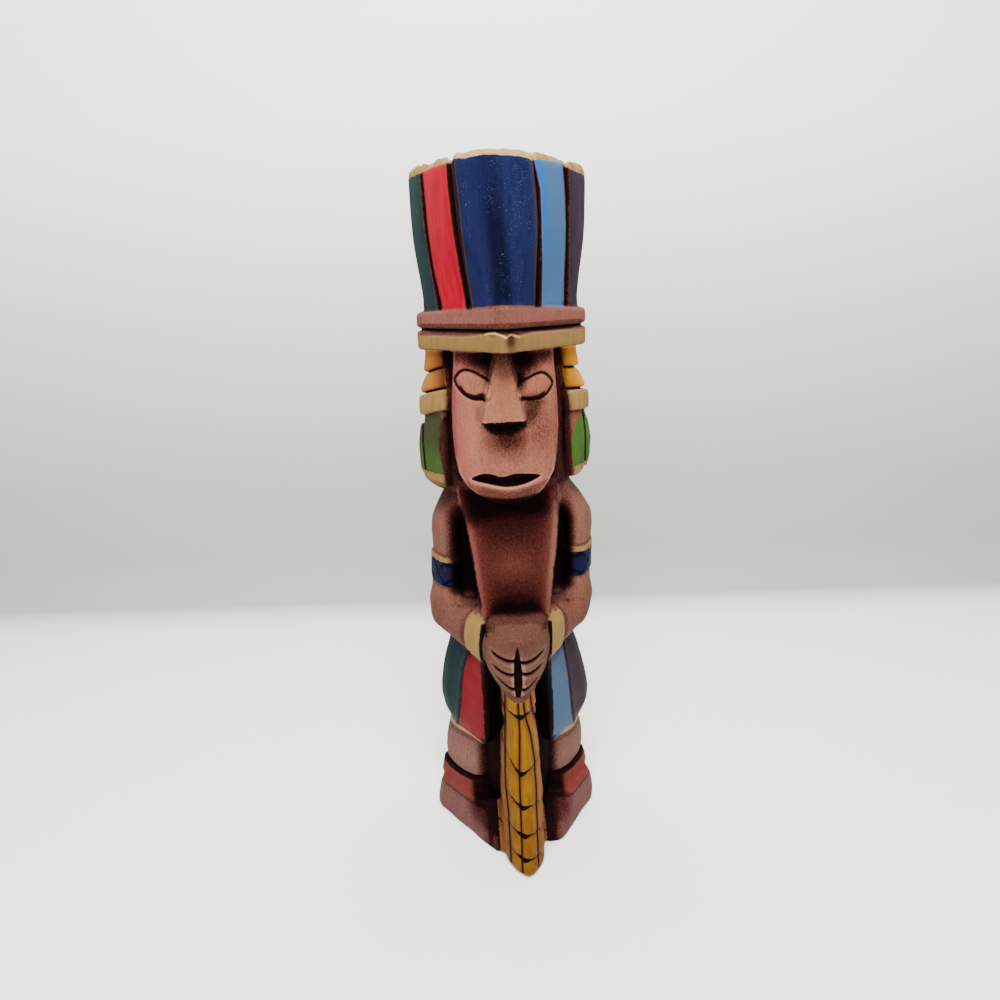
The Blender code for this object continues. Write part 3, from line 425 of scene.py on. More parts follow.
def paintFace(spot, coat):
    x, fore, z, reach = spot.x, spot.fore, spot.z, spot.reach
    half = along(face["levels"], z, 1)
    front = ramp(fore, 26, 30) * fade(reach - half, 0.2, 1.2)
    beside = x - face["noseMiddle"]
    offNose = np.abs(beside) - noseHalf(z)
    base = face["noseBase"]
    above = (z > base - 1) * (z < 271.5)
    onNose = above * (fore > faceFore(spot) + 1.0) * fade(offNose, -0.2, 0.7)
    plain = front * (1 - onNose) * hump(z, 198, 271, 1)
    coat.line("eyeLine", eyeOffset(spot), plain > 0.02)
    for shape in face["underEyes"]:
        crescent = outlineOffset(x, z, shape)
        coat.shade(plain * 0.85 * fade(crescent, -0.6, 0.5))
    # airbrushed shade: by the bridge, over and under the eyes, beside the nose and under it, where it also
    # paints the nose's shadow
    for atX, atZ, wide, tall, amount in face["shades"]:
        coat.shade(plain * amount * bell(x - atX, wide) * bell(z - atZ, tall))
    # under the nose: airbrushed black together with the nose's painted shadow
    smile = outlineOffset(x, z, face["underNose"] + [(9.8, 241), (-11, 241)])
    below = z < base + 1.2
    coat.shade(front * below * fade(smile, -1.6, 2.4))
    # painted shade on the underside of the nose, where it faces down
    underside = (reach < 13) * (fore > 46.5) * (np.abs(z - base) < 2.5)
    coat.shade(0.98 * underside * ramp(-spot.up, 0.35, 0.7))
    # the nose: darker towards the bridge, painted shade on its side planes that turn away from the front, and
    # a painted highlight along the edge of its base, laid in as wear
    coat.shade(onNose * (0.17 + 0.46 * ramp(z, 256, 271)))
    coat.shade(onNose * 0.34 * ramp(np.abs(beside) - noseHalf(z, 2), -0.6, 0.8) * (spot.ahead < 0.75))
    coat.shade(onNose * 0.62 * ramp(z, 246, 262) * ramp(offNose, -1.9, -0.4))
    coat.wearAndHighlight(0.75 * onNose * hump(z, base - 0.3, base + 0.9, 0.5) * (spot.up > -0.5))
    # warm cheeks, and darker edges towards the ears
    edge = half - reach
    coat.shade(plain * (0.14 + 0.12 * ramp(x, -2, 20)) * ramp(z, 204, 212))
    coat.shade(plain * 0.52 * ramp(z, 261, 268))
    coat.shade(plain * 0.34 * fade(edge, 0.3, 4.0) * ramp(z, 204, 215))
    coat.blush(plain * (fade(edge, 1, 10) * 0.62 * (x < 0) + 0.12 * hump(z, 214, 250, 8)
                        + 0.30 * ramp(z, 262, 268) * ramp(reach, 12, 18)))
    # the mouth, its lips, and painted highlights along the lower lip and the rim of the chin, laid in as wear
    slot = outlineOffset(x, z, curved(face["lips"]))
    near = between(z, 203, 217) * (reach < 20) * (fore > 33)
    coat.line("mouthLine", slot, near)
    coat.shade(near * front * 1.1 * fade(slot, -0.2, 0.35))
    coat.shade(plain * 0.46 * hump(z, 199, 208, 2) * ramp(np.abs(slot), 1.0, 3.5))
    coat.wearAndHighlight(0.50 * plain * near * hump(slot, 0.5, 1.5, 0.4) * (z < 210))
    coat.wearAndHighlight(0.66 * front * hump(edge - 0.25 * (z > 212), -0.6, 0.9, 0.5) * hump(z, 198, 218, 1)
              * (spot.ahead > 0.1))
    coat.tint("chin", front * hump(z, 197, 207.6, 1.2) * fade(reach, 10, 18))
    coat.tint("face", hump(z, 197, 271.5, 1.0) * ramp(fore, 24, 28) * (reach < half + 2)
              * (1 - 0.75 * hump(z, 197, 207.2, 1.2) * fade(reach, 10, 18)))
    coat.tint("nose", onNose * hump(z, 238, 271.5, 1.0))


# Ear ornaments: two flared tassels, a band, and a long feather

ears = {
    "tilt": {-1: 0.24, 1: 0.08}, "sink": {-1: 0.9, 1: 0.1},
    "inner": {-1: [(203, 32.0), (213, 33.0), (221, 34.2), (231, 33.8), (237, 32.2), (238, 29.4), (248, 28.4),
                   (262, 30.0), (276, 31.0)],
              1: [(203, 34.6), (243, 33.5), (256, 30.5), (276, 29.0)]},
    "cuts": (259.65, 248.75), "cutDepth": 1.5, "band": (237.5, 248.2), "quillDepth": 1.3,
    "span": (200, 271, 1),      # from the feathers' ends up to the brim, and how softly it ends
    "strands": (5, 0.7, 0.12),      # pitch, half-width and depth
    "featherEnd": {-1: 201.8, 1: 203.5}, "tip": {-1: 207.8, 1: 209.2},
    # the groove down each feather: height and how far out
    "quill": {-1: [(205, 43.0), (223, 43.7), (237, 42.8)], 1: [(205, 42.3), (225, 42.7), (237, 41.4)]},
    # bare wood is left between the right feather's green and the dark channel
    "greenFrom": {-1: [(203, 31.5), (213, 33.0), (221, 34.2), (231, 33.8), (237, 32.6)],
                  1: [(203, 36.5), (211.5, 35.2), (215.4, 34.3), (223.4, 34.3), (230.7, 36.5),
                      (235.9, 41.0)]},
}


def earLevel(spot):      # the height each point has before the cuts' tilt
    slope = ramp(spot.z, 234, 240) * ofSide(ears["tilt"], spot)
    return spot.z + ofSide(ears["sink"], spot) - slope * np.clip(spot.fore, -4, 30)


def carveEars(spot):
    out = ramp(spot.reach - bySide(ears["inner"], spot), -0.5, 1.5)
    level = earLevel(spot)
    cut = 0.0
    for height in ears["cuts"]:
        cut = cut + ears["cutDepth"] * valley(level - height, 0.95)
    cut = cut + 0.7 * valley(level - ears["band"][0] + 0.2, 0.8)
    quill = bySide(ears["quill"], spot)
    groove = valley(spot.reach - quill, 0.9) * hump(spot.z, 204, 236, 1) * ramp(spot.fore, -6, -2)
    cut = cut + ears["quillDepth"] * groove
    # strands down each tassel
    pitch, half, depth = ears["strands"]
    strands = valley((spot.fore - 3) % pitch - pitch / 2, half) * (level > 249.5)
    return out * (cut + depth * strands - 0.15 * lumps(spot, 6, 15))


def paintEars(spot, coat):
    x, fore, z, reach = spot.x, spot.fore, spot.z, spot.reach
    inner = bySide(ears["inner"], spot)
    out = reach - inner + 0.3
    level = earLevel(spot)
    behind = fore + 11.0
    lower = ears["cuts"][1]
    low, high = ears["band"]
    under = brim["low"] - z
    coat.add("tassel", inside(level - lower - 0.4, out, behind, under))
    coat.add("cream", inside(level - low - 0.2, high - level, out, behind))
    tip, end = ofSide(ears["tip"], spot), ofSide(ears["featherEnd"], spot)
    green = reach - bySide(ears["greenFrom"], spot)
    ragged = 0.8 * lumps(spot, 2.2, 16)
    coat.add("leaf", inside(low - 0.6 - level, z - tip + ragged, green, behind))
    coat.add("cream", inside(tip - ragged - z, z - end + 1.5, green, behind))
    around = hump(z, *ears["span"]) * (reach > 26)
    coat.line("quillLine", reach - bySide(ears["quill"], spot), around > 0)
    ornament = around * ramp(out, -0.5, 0.8)
    for height in ears["cuts"]:
        coat.shade(ornament * 0.95 * valley(level - height, 1.1) ** 0.7)
    coat.shade(ornament * 0.6 * valley(level - low + 0.3, 1.0))
    # each tassel is browner at its top and at its inner side
    coat.shade(ornament * 0.26 * (hump(level, 256, 259, 1.5) + hump(level, 266, 272, 2)))
    coat.shade(ornament * 0.62 * fade(out, 0.0, 4.6 + 2.0 * (level > lower)) * (level > low))
    coat.shade(ornament * 0.40 * fade(out, 0.3, 4.0) * (level < low))
    coat.blend("umber", ornament * (level > lower) * fade(out, 1.5, 10.0 + 3.0 * (x > 0))
               * (0.75 + 0.2 * (x < 0)))
    coat.shade(ornament * 0.30 * hump(level, low - 0.2, low + 0.8, 0.4))
    coat.shade(ornament * 0.26 * hump(level, high - 0.9, high + 0.2, 0.4))
    coat.blend("dullSide", ornament * (x < 0) * (0.35 + 0.65 * ramp(z, 214, 226)))
    # the channel between the face and the ornaments
    half = along(face["levels"], z, 1)
    channel = hump(reach, half + 0.3, inner + 0.4, 0.6) * hump(z, *ears["span"]) * (fore < 33)
    coat.shade(0.64 * channel * (fore > -11))
    coat.shade(0.80 * channel * (z > 262))
    coat.tint("ear", ornament)


# Trunk and arms

arms = {
    # height, half-width of the chest, fore of its side edges
    "chest": [(128, 18.0, 38.5), (140, 18.6, 37.2), (155, 20.6, 34.6), (172, 22.8, 31.6), (186, 24.6, 29.2),
              (196, 25.3, 27.6), (206, 25.6, 27.0)],
    "axis": (-0.32, 0.95), "fore": 1.0,
    "bandLow": {-1: 144.5, 1: 147.5}, "bandHigh": {-1: 160.5, 1: 164.0}, "gilt": {-1: 2.6, 1: 2.8},
    "bandCut": 0.45,
    # where two strokes of the band's lattice cross: place round the arm, height
    "latticeAt": 7.0, "latticeHeight": {-1: 152.0, 1: 154.6}, "latticeSize": (11.0, 12.0),
}

wrists = {
    "elbow": (37.2, -1.2), "wrist": (8.6, 38.2), "length": 48.7, "cuff": (0.638, 0.908), "cuffTop": 135.6,
    "gap": (16.0, 120.0, 2.4, 13.5),      # arc's x, height and reaches
}

hands = {
    # height, half-width, fore of the knuckles, fore of the ridge
    "levels": [(96.8, 2.2, 51, 56.5), (98.5, 6, 50, 57.8), (104.3, 11.4, 48.5, 59.4), (110.8, 15.3, 47, 59.9),
               (118, 17.1, 46, 59.9), (125, 17.4, 46, 59.6), (129, 17.4, 45.5, 59), (131.8, 16.6, 45, 55.6),
               (134.2, 15.8, 44, 49.5), (136.1, 14.6, 42.5, 44.5)],
    # the slit between the hands: height, middle, half-width
    "slit": [(98.8, -0.3, 0.7), (101, -0.3, 1.3), (107, -0.25, 2.0), (116, -0.45, 1.8), (122, -0.8, 1.2),
             (127.5, -1.0, 0.2)],
    # each cut between the fingers: height beside the slit, and climb towards the wrist
    "fingers": {-1: [(119.7, 1.7), (112.3, 1.6), (103.8, 3.4)],
                1: [(118.6, 1.9), (112.4, 0.9), (103.2, 2.5)]},
    "fingerSpan": (100, 131),
    # how far the cuts sag, where they start, how much of the half-width they cross; half-width and depth
    "sag": 1.0, "from": 2.5, "to": 0.7, "cut": (1.0, 1.5), "slitDepth": 2.2,
}


def onCuff(spot):      # share of the way along the forearm, and how far out of its middle
    ex, ef = wrists["elbow"]
    wx, wf = wrists["wrist"]
    length = math.hypot(wx - ex, wf - ef)
    rx, rf = (wx - ex) / length, (wf - ef) / length
    dx, df = spot.reach - ex, spot.fore - ef
    return (dx * rx + df * rf) / length, dx * rf - df * rx


def fingerOffset(spot):
    half = along(hands["levels"], spot.z, 1)
    reach = half * hands["to"]
    t = np.clip((spot.reach - hands["from"]) / np.maximum(reach - hands["from"], 1), 0, 1.2)
    offsets = []
    for side in (-1, 1):
        sag = 4 * hands["sag"] * t * (1 - t)
        lines = [low + rise * t - sag for low, rise in reversed(hands["fingers"][side])]
        offsets.append(zigzag(spot.z, lines))
    offset = np.where(spot.side < 0, *offsets)
    past = np.maximum(np.maximum(spot.reach - reach, hands["from"] - 1.5 - spot.reach), 0)
    return np.sign(offset) * np.hypot(offset, past) + (offset == 0) * past


def slitOffset(spot):
    middle, half = (along(hands["slit"], spot.z, column) for column in (1, 2))
    ends = (hands["slit"][0][0], hands["slit"][-1][0])
    past = np.maximum(np.maximum(ends[0] - spot.z, spot.z - ends[1]), 0)
    return np.hypot(np.maximum(np.abs(spot.x - middle) - half, -half), past) * np.where(
        (np.abs(spot.x - middle) < half) & (past == 0), -1, 1)


def wristArc(spot):
    x, z, wide, tall = wrists["gap"]
    return (np.hypot((spot.reach - x) / wide, (spot.z - z) / tall) - 1) * wide


def bandEdges(spot):
    return ofSide(arms["bandLow"], spot), ofSide(arms["bandHigh"], spot)


def carveTorso(spot):
    cut = -0.2 * lumps(spot, 8, 21, 1.4) - 0.07 * lumps(spot, 2.6, 22)
    onArm = spot.reach > 29
    low, high = bandEdges(spot)
    for edge in (low - 0.9, high + 0.9):
        cut = cut + onArm * arms["bandCut"] * valley(spot.z - edge, 1.0)
    within = onArm * hump(spot.z, low + 0.5, high - 2.6, 0.4)
    for stroke in latticePlace(spot):
        cut = cut + arms["bandCut"] * within * valley(((stroke + 0.5) % 1 - 0.5) * 8.0, 0.6)
    return cut


def latticePlace(spot):      # strokes run where these are whole numbers
    ax, af = arms["axis"]
    place = (spot.reach - 38) * ax + (spot.fore - arms["fore"]) * af
    wide, tall = arms["latticeSize"]
    u, v = (place - arms["latticeAt"]) / wide, (spot.z - ofSide(arms["latticeHeight"], spot)) / tall
    return u + v, u - v


def carveHands(spot):
    front = ramp(spot.fore, 42, 44)
    half, depth = hands["cut"]
    near = front * between(spot.z, *hands["fingerSpan"])
    cut = -0.08 * lumps(spot, 4, 25)
    # the backs of the fingers swell between their cuts
    offset = fingerOffset(spot)
    cut = cut + near * (depth * valley(offset, half) - 0.4 * ramp(np.abs(offset), 0.8, 2.6))
    cut = cut + front * hands["slitDepth"] * ramp(-slitOffset(spot), -0.3, 1.2)
    gap = valley(wristArc(spot), 1.3) * (spot.reach > wrists["gap"][0]) * ramp(spot.fore, 38, 41)
    return cut + 1.4 * gap


def paintTorso(spot, coat):
    fore, z, reach = spot.fore, spot.z, spot.reach
    half, edge = along(arms["chest"], z, 1), along(arms["chest"], z, 2)
    upright = fade(spot.up, 0.45, 0.8)
    chest = (reach < half + 1.2) * (fore > edge - 3.0) * hump(z, 131, 201, 1) * upright
    share = spot.x / half
    middle = fade(np.abs(share), 0.5, 0.98)
    # black under the chin, airbrushed and also a painted shadow of the chin, running down further at the
    # left, and black at the lap
    chin = ramp(z - 3.0 * np.minimum(share, 0), 176, 193)
    lap = fade(z + 7 * share * share, 138, 159)
    sides = 1 - 0.62 * ramp(share, 0.62, 0.96) - 0.34 * ramp(-share, 0.74, 0.98)
    coat.shade(chest * 1.02 * chin * sides)
    coat.shade(chest * (0.22 + 0.84 * middle) * lap)
    light = bell(share + 0.05, 0.62) * bell(z - 163, 9)
    coat.shade(chest * (0.34 * middle + 0.26 - 0.26 * light))
    # painted highlights on the chest's side ridges, brighter at the right, laid in as wear
    ridgeHighlights = 0.20 * hump(share, 0.84, 0.98, 0.06) + 0.06 * hump(-share, 0.90, 1.0, 0.04)
    coat.wearAndHighlight(chest * ridgeHighlights * (z < 194) * (0.55 + 0.45 * ramp(z, 140, 160)))
    coat.blush(chest * 0.45 * ramp(-share, 0.62, 1.0))
    coat.tint("chest", chest)
    coat.shade(chest * 0.42 * ramp(-share, 0.50, 0.80) * fade(-share, 0.80, 0.92))
    # gap between the chest and the arms
    behind = between(reach, 15, 37) * (fore < edge - 1.5) * hump(z, 139, 190, 4) * upright
    coat.shade(0.90 * behind * fade(reach, 28, 34) * (fore > -8))
    # armbands
    low, high = bandEdges(spot)
    strip = ofSide(arms["gilt"], spot) + 0.7 * lumps(spot, 2.5, 31)
    onArm = reach - 28.5
    coat.add("navy", inside(z - low + 0.4, high - z, onArm))
    coat.add("gilt", inside(z - high + strip, high + 0.2 - z, onArm))
    coat.blend("deepBlueAndReflection", hump(z, low - 2, high, 0.5) * (onArm > -2) * 0.75)
    rise, fall = latticePlace(spot)
    coat.line("latticeRise", rise)
    coat.line("latticeFall", fall)
    coat.line("latticeWithin", inside(z - low - 0.2, high - strip - z, onArm))
    arm = hump(z, 116, 204, 2) * (reach > 27)
    coat.tint("arm", arm)
    coat.shade(arm * 0.42 * hump(z, high - 0.6, high + 1.8, 1.0))
    coat.shade(arm * 0.36 * hump(z, low - 1.8, low - 0.2, 1.0))
    # shade runs over each arm from the gap beside the chest, and down from the neck
    gapward = fade(reach, 29, 40.5 - 2.5 * (spot.side > 0)) * (1 - 0.55 * ramp(z, 180, 194))
    coat.shade(arm * 0.95 * gapward * ramp(fore, -12, -6) * ramp(z, 136, 143))
    # the left shoulder takes more, painted shade for light falling from the right
    coat.shade(arm * (0.24 + 0.34 * (spot.side < 0)) * ramp(z, 174, 196) * ramp(fore, -12, -6))
    coat.shade(arm * (0.14 + 0.16 * fade(z, 130, 150)))
    coat.shade(arm * 0.26 * hump(z, 158, 172, 8) * fade(reach, 32, 42) * (fore > -8))
    # painted shade under the forearms, where they face down
    coat.shade(arm * 0.22 * hump(z, 124, 140, 5) * ramp(-spot.up, -0.2, 0.5))


def paintHands(spot, coat):
    fore, z, reach = spot.fore, spot.z, spot.reach
    share, out = onCuff(spot)
    first, last = wrists["cuff"]
    length = wrists["length"]
    under = along(skirt["top"], share) - 1.3
    cuff = inside((share - first) * length, (last - share) * length, out + 7, z - under,
                  fore - 12, (0.86 - spot.up) * 6, wrists["cuffTop"] - z)
    coat.add("gilt", cuff)
    forearm = hump(z, 107, 137, 1) * hump(share, 0.0, 0.66, 0.02)
    coat.tint("arm", forearm)
    coat.shade(forearm * 0.46 * hump(share, 0.54, 0.64, 0.05) * (out > -4))
    coat.shade(forearm * 0.34 * hump(share, 0.0, 0.2, 0.08) * (out < 5))
    coat.shade(forearm * 0.26)
    # where the forearms meet the lap they are darker
    coat.shade(forearm * 0.46 * ramp(spot.up, 0.2, 0.7) * (out < 3))
    half = along(hands["levels"], z)
    hand = (reach < half + 2.5) * ramp(fore, 40, 43) * hump(z, 96, 137, 0.5)
    coat.tint("hand", hand)
    near = hand * between(z, *hands["fingerSpan"])
    offset = fingerOffset(spot)
    coat.line("fingerLine", offset, near > 0.3)
    coat.line("slitLine", slitOffset(spot), hand > 0.3)
    coat.shade(near * 0.42 * fade(np.abs(offset), 0.4, 2.2))
    coat.wearAndHighlight(near * 0.08 * hump(np.abs(offset), 1.4, 3.2, 0.8) * (reach > 3))
    coat.shade(hand * 0.30 * hump(z, 124.5, 130, 2) * fade(reach, 2, 12))
    coat.shade(hand * 0.26 * fade(z, 98, 106))
    arc = wristArc(spot)
    gap = fade(np.abs(arc), 0.6, 1.2) * (reach > wrists["gap"][0] - 0.2) * (fore > 38)
    coat.shade(1.1 * gap * hump(z, 108, 132.5, 0.8))
    lap = hump(z, 130, 139, 1) * between(fore, 26, 47) * (reach < 17.5)
    lap = lap * ramp(spot.up, 0.15, 0.5)
    coat.shade(lap * (0.40 + 0.30 * fade(fore, 37, 42)))
    coat.shade(hand * (0.16 + 0.12 * ramp(z, 124, 131)))
    coat.tint("hand", lap)


# Skirt, legs and feet

skirt = {
    "hem": {-1: [(-14, 52.5), (20, 55.0), (36, 56.3)], 1: [(-14, 51.5), (10, 51.5), (24, 53.5), (36, 56.0)]},
    "top": [(0.0, 119.0), (0.2, 116.2), (0.4, 113.8), (0.6, 111.8), (0.8, 110.0), (1.0, 108.8)],
    # each panel seam, height and reach
    "seam": {-1: [(53, 34.5), (64, 32.8), (72.3, 32.2), (87.7, 30.5), (99.5, 28.3), (106, 26.2), (116, 23.5)],
             1: [(52.5, 34.6), (66, 31.5), (79.4, 30.0), (93.5, 29.4), (104.6, 28.0), (116, 26.5)]},
    "edge": [(53, 18.0), (66, 16.8), (84, 16.3), (117, 16.0)],
    "seamCut": (0.9, 0.7),      # half-width and depth
    "hemWidth": 2.4, "back": -12.5,
}

legs = {"anklet": (19.8, 26.8), "groove": 28.9, "grooveCut": (1.1, 0.9)}


def carveSkirt(spot):
    cut = -0.25 * lumps(spot, 9, 41, 2.2) - 0.08 * lumps(spot, 3, 42)
    side = (spot.reach > 15) * ramp(spot.fore, -8, -3)
    half, depth = skirt["seamCut"]
    within = hump(spot.z, 54, 116, 1)
    return cut + side * within * depth * valley(spot.reach - bySide(skirt["seam"], spot), half)


def carveLegs(spot):
    cut = -0.28 * lumps(spot, 9, 44, 0.8) - 0.08 * lumps(spot, 3, 45)
    half, depth = legs["grooveCut"]
    return cut + (spot.reach > 12) * depth * valley(spot.z - legs["groove"], half)


def paintSkirt(spot, coat):
    fore, z, reach = spot.fore, spot.z, spot.reach
    share, _ = onCuff(spot)
    above = z - ofSide({side: along(skirt["hem"][side], fore) for side in (-1, 1)}, spot)
    top = np.where(fore < -3, 119.0, along(skirt["top"], share))
    seam = bySide(skirt["seam"], spot)
    behind = fore - skirt["back"]
    edge = along(skirt["edge"], z)
    hem = skirt["hemWidth"]
    outside = (spot.outward + 0.25 * spot.ahead) * 12       # the inner walls stay bare
    within = inside(above - hem * 0.6, top - z, behind)
    outer = inside(reach - seam - 0.3, within)
    inner = inside(seam - 0.3 - reach, reach - edge + 1.0, within, fore - 2, outside)
    for name, side, panel in [("green", -1, outer), ("plum", 1, outer), ("red", -1, inner),
                              ("sky", 1, inner)]:
        coat.add(name, np.where(spot.side == side, panel, -9.0))
    coat.add("gilt", inside(above, hem - above, behind, reach - edge + 0.8, top - z,
                            outside + 3 * (spot.up < -0.3)))
    cloth = ramp(above, 0, 1.5) * (z < top) * (reach > edge - 2)
    coat.shade(cloth * 0.70 * fade(np.abs(reach - seam), 0.3, 1.2) * (fore > -10))
    coat.shade(cloth * 0.95 * fade(reach - edge, -0.8, 2.2) * (fore > 0))
    coat.shade(cloth * 0.55 * ramp(z - top, -8, 0) * (fore > -8))
    coat.shade(0.40 * hump(above, -3.5, -0.6, 0.5) * (reach > 14))
    coat.blend("fadedCloth", cloth)
    coat.blend("paleGiltAndHighlight", 0.6 * (z < 62))


def paintLegs(spot, coat):
    fore, z, reach = spot.fore, spot.z, spot.reach
    low, high = legs["anklet"]
    leg = reach > 15
    coat.add("coral", inside(z - low, high - z, reach - 17, fore + 11))
    coat.shade(leg * 0.97 * valley(z - legs["groove"], 1.3) ** 0.6)
    coat.shade(leg * 0.55 * hump(z, 17.5, 19.6, 1.2))
    coat.shade(leg * 0.80 * hump(z, 27.2, 29.2, 0.6))
    coat.shade(leg * 0.10 * (z < 56))
    # inner sides run into the dark
    offStaff = (staffWithin(spot) < 0) * (fore > -8) * (z < 62)
    inward = ramp(-spot.outward, -0.55, 0.25)
    coat.shade(offStaff * 0.88 * fade(reach, 17, 27) * (1 - 0.35 * (z < 10)))
    coat.shade(offStaff * 0.90 * hump(z, 18, 30, 1) * fade(reach, 23, 32))
    coat.shade(offStaff * 0.82 * (z < 20) * (reach < 14.5))
    coat.shade(offStaff * 0.55 * inward * fade(reach, 20, 32))
    coat.tint("calf", hump(z, 29, 56, 2) * leg)
    coat.tint("foot", fade(z, 18, 24))
    toe = (z < 20) * hump(reach, 10, 30, 5) * (fore > -4) * (staffWithin(spot) < 0)
    coat.shade(toe * (0.22 + 0.40 * ramp(z, 3, 16)))
    coat.blush(0.4 * (z < 20) * ramp(spot.up, 0.2, 0.6) * (reach > 15))


# Feathered staff

staff = {
    "top": 104.0, "half": (8.4, 11.4),
    # lines between its columns of feathers: height, then each line's x from left to right
    "columns": [(2, -8.5, -3.3, 5.6, 10.6), (12.5, -8.4, -2.9, 5.9, 10.8), (31.8, -8.3, -2.4, 6.3, 11.0),
                (47.4, -8.9, -2.0, 6.8, 11.2), (63, -8.5, -1.6, 6.5, 11.0), (76.4, -8.2, -1.2, 4.8, 9.4),
                (88.6, -7.6, -0.9, 2.3, 6.4), (104, -6.5, -0.7, 2.0, 5.5)],
    # where each row of feathers ends: at the left side, on the centre line, at the right side
    "rows": [(94.0, 89.7, 91.0), (75.0, 59.2, 63.0), (49.0, 41.0, 38.6), (28.5, 25.2, 22.4),
             (15.0, 11.2, 8.6)],
    "spread": (-11.0, -1.2, 9.5),
    "columnCut": (0.8, 0.6), "rowStep": 0.8, "wedge": (5.4, 2.1),
}


def staffRows(spot):
    first, middle, last = staff["spread"]
    lines = []
    for left, centre, right in reversed(staff["rows"]):
        share = (spot.x - middle) / np.where(spot.x < middle, first - middle, last - middle)
        end = np.where(spot.x < middle, left, right)
        lines.append(centre + (end - centre) * np.clip(share, 0, 1.4) ** 1.4)
    return lines


def staffColumns(spot):
    return [along(staff["columns"], spot.z, column) for column in (1, 2, 3, 4)]


def staffWithin(spot):
    share = np.clip((staff["top"] - spot.z) / staff["top"], 0, 1)
    half = staff["half"][0] + (staff["half"][1] - staff["half"][0]) * np.minimum(share * 1.9, 1)
    levels = hands["levels"]
    hand = np.interp(spot.reach, [row[1] for row in levels[:5]], [row[0] for row in levels[:5]])
    return inside(half + 0.9 + 0.9 * (spot.z < 72) - spot.reach, hand - 0.4 - spot.z, spot.fore - 30.5)


def carveStaff(spot):
    z = spot.z
    on = ramp(staffWithin(spot), -0.6, 0.4)
    half, depth = staff["columnCut"]
    lines = staffRows(spot)
    column = zigzag(spot.x, staffColumns(spot))
    inner = fade(spot.reach, 8.2, 10.2)      # the outer columns are only drawn on
    cut = depth * valley(column, half) * (0.25 + 0.75 * inner) - 0.35 * inner * ramp(np.abs(column), 0.5, 2.4)
    step = 0.0
    for low, high in zip([line - 18 for line in lines[:1]] + lines, lines + [lines[-1] + 25]):
        within = (z > low) & (z <= high)
        step = np.where(within, 1 - (high - z) / (high - low), step)
    cut = cut + staff["rowStep"] * ramp(step, 0.6, 1.0) - 0.25
    return on * ramp(z, 0.5, 6) * (cut - 0.08 * lumps(spot, 3, 51, 2))


def paintStaff(spot, coat):
    x, fore, z = spot.x, spot.fore, spot.z
    within = staffWithin(spot)
    coat.add("ochre", within)
    lines = staffRows(spot)
    columns = staffColumns(spot)
    coat.line("columnLine", zigzag(x, columns))
    coat.line("rowLine", zigzag(z + 0.7, lines))      # just under each feather's tip
    on = ramp(within, -0.5, 0.5)
    centre = columns[1]
    half, slope = staff["wedge"]
    streaks = 0.62 + 0.38 * lumps(spot, 1.1, 52, 9)
    for line in lines:
        under = line - z
        # a dark wedge where the two middle feathers part
        reach = half - slope * np.maximum(under - 0.7, 0)
        wedge = fade(np.abs(x - centre - 0.7) - reach, -0.8, 0.5)
        coat.shade(on * wedge * (under > -0.5) * (under < 4) * 1.1)
        coat.shade(on * 0.50 * np.exp(-np.maximum(under, 0) / 1.3) * (under > -0.2))
        # brown brushed down over each feather's upper part
        coat.blend("umber", on * streaks * np.exp(-np.maximum(under, 0) / 5.0) * (under > -0.2))
    offset = np.abs(zigzag(x, columns))
    coat.blend("umber", on * 0.85 * fade(offset, 0.3, 1.9))
    coat.blend("umber", on * 0.80 * ramp(62 - z, 0, 48) * (0.6 + 0.4 * lumps(spot, 1.6, 53, 5)))
    coat.blend("umber", on * 0.66 * fade(x - columns[0], -0.6, 0.6))
    outer = np.maximum(fade(x - columns[0], -1.0, 0.8), 0.8 * ramp(x - columns[2], -0.5, 1.5))
    coat.blend("peach", on * outer)
    coat.shade(on * 0.40 * fade(fore, 34, 46))
    coat.shade(on * 0.30 * ramp(spot.reach, 9.5, 12.0))
    # the dark web behind and beside the staff
    web = (spot.reach < 19) * (z < 112) * (within < 0) * (fore < 44) * (fore > -8)
    coat.shade(web * 0.82)


# Putting the carving together

reliefs = [
    (0, 55, carveLegs), (52, 119, carveSkirt), (0, 104, carveStaff), (99, 137, carveHands),
    (119, 203, carveTorso), (198, 271.6, carveFace), (200, 271, carveEars), (270.6, 291.5, carveBrim),
    (289, 360, carveCrown)]


def rubbed(grid, sigma):
    reach = int(math.ceil(2.6 * sigma))
    weights = np.exp(-0.5 * (np.arange(-reach, reach + 1) / sigma) ** 2)
    weights = (weights / weights.sum()).astype(np.float32)
    for axis in range(3):
        padded = np.pad(grid, [(reach, reach) if i == axis else (0, 0) for i in range(3)], mode="edge")
        grid = np.zeros_like(grid)
        for shift, weight in enumerate(weights):
            window = [slice(None)] * 3
            window[axis] = slice(shift, shift + grid.shape[axis])
            grid += weight * padded[tuple(window)]
    return grid


def softness(spot):      # 0 keeps the knife's edges, 1 rubs them right down
    fore, z, reach = spot.fore, spot.z, spot.reach
    soft = along(sculpt["softness"], z)
    low, high = bandEdges(spot)
    onBand = hump(z, low - 1, high + 1, 1.5) * (reach > 29)
    soft = soft * (1 - 0.85 * onBand)
    onEar = hump(z, 201, 270, 1) * (reach > 28)
    soft = np.where(onEar > 0, np.minimum(soft, 0.25), soft)
    onNose = hump(z, 235, 270, 1) * (reach < 14.5) * (fore > 44.5)
    soft = soft * (1 - 0.85 * onNose)
    share, _ = onCuff(spot)
    cuff = hump(share, 0.60, 0.95, 0.02) * hump(z, 105, 138, 1) * (fore > 10)
    soft = soft * (1 - 0.8 * cuff)
    onHand = hump(z, 98, 134, 2) * (fore > 44)
    soft = np.where(onHand > 0.5, np.minimum(soft, 0.5), soft)
    onStaff = ramp(staffWithin(spot), -2.0, 0.0)
    soft = soft * (1 - onStaff) + onStaff
    mouth = hump(z, 204, 214, 1) * (reach < 19) * (fore > 38)
    return soft * (1 - 0.9 * mouth)


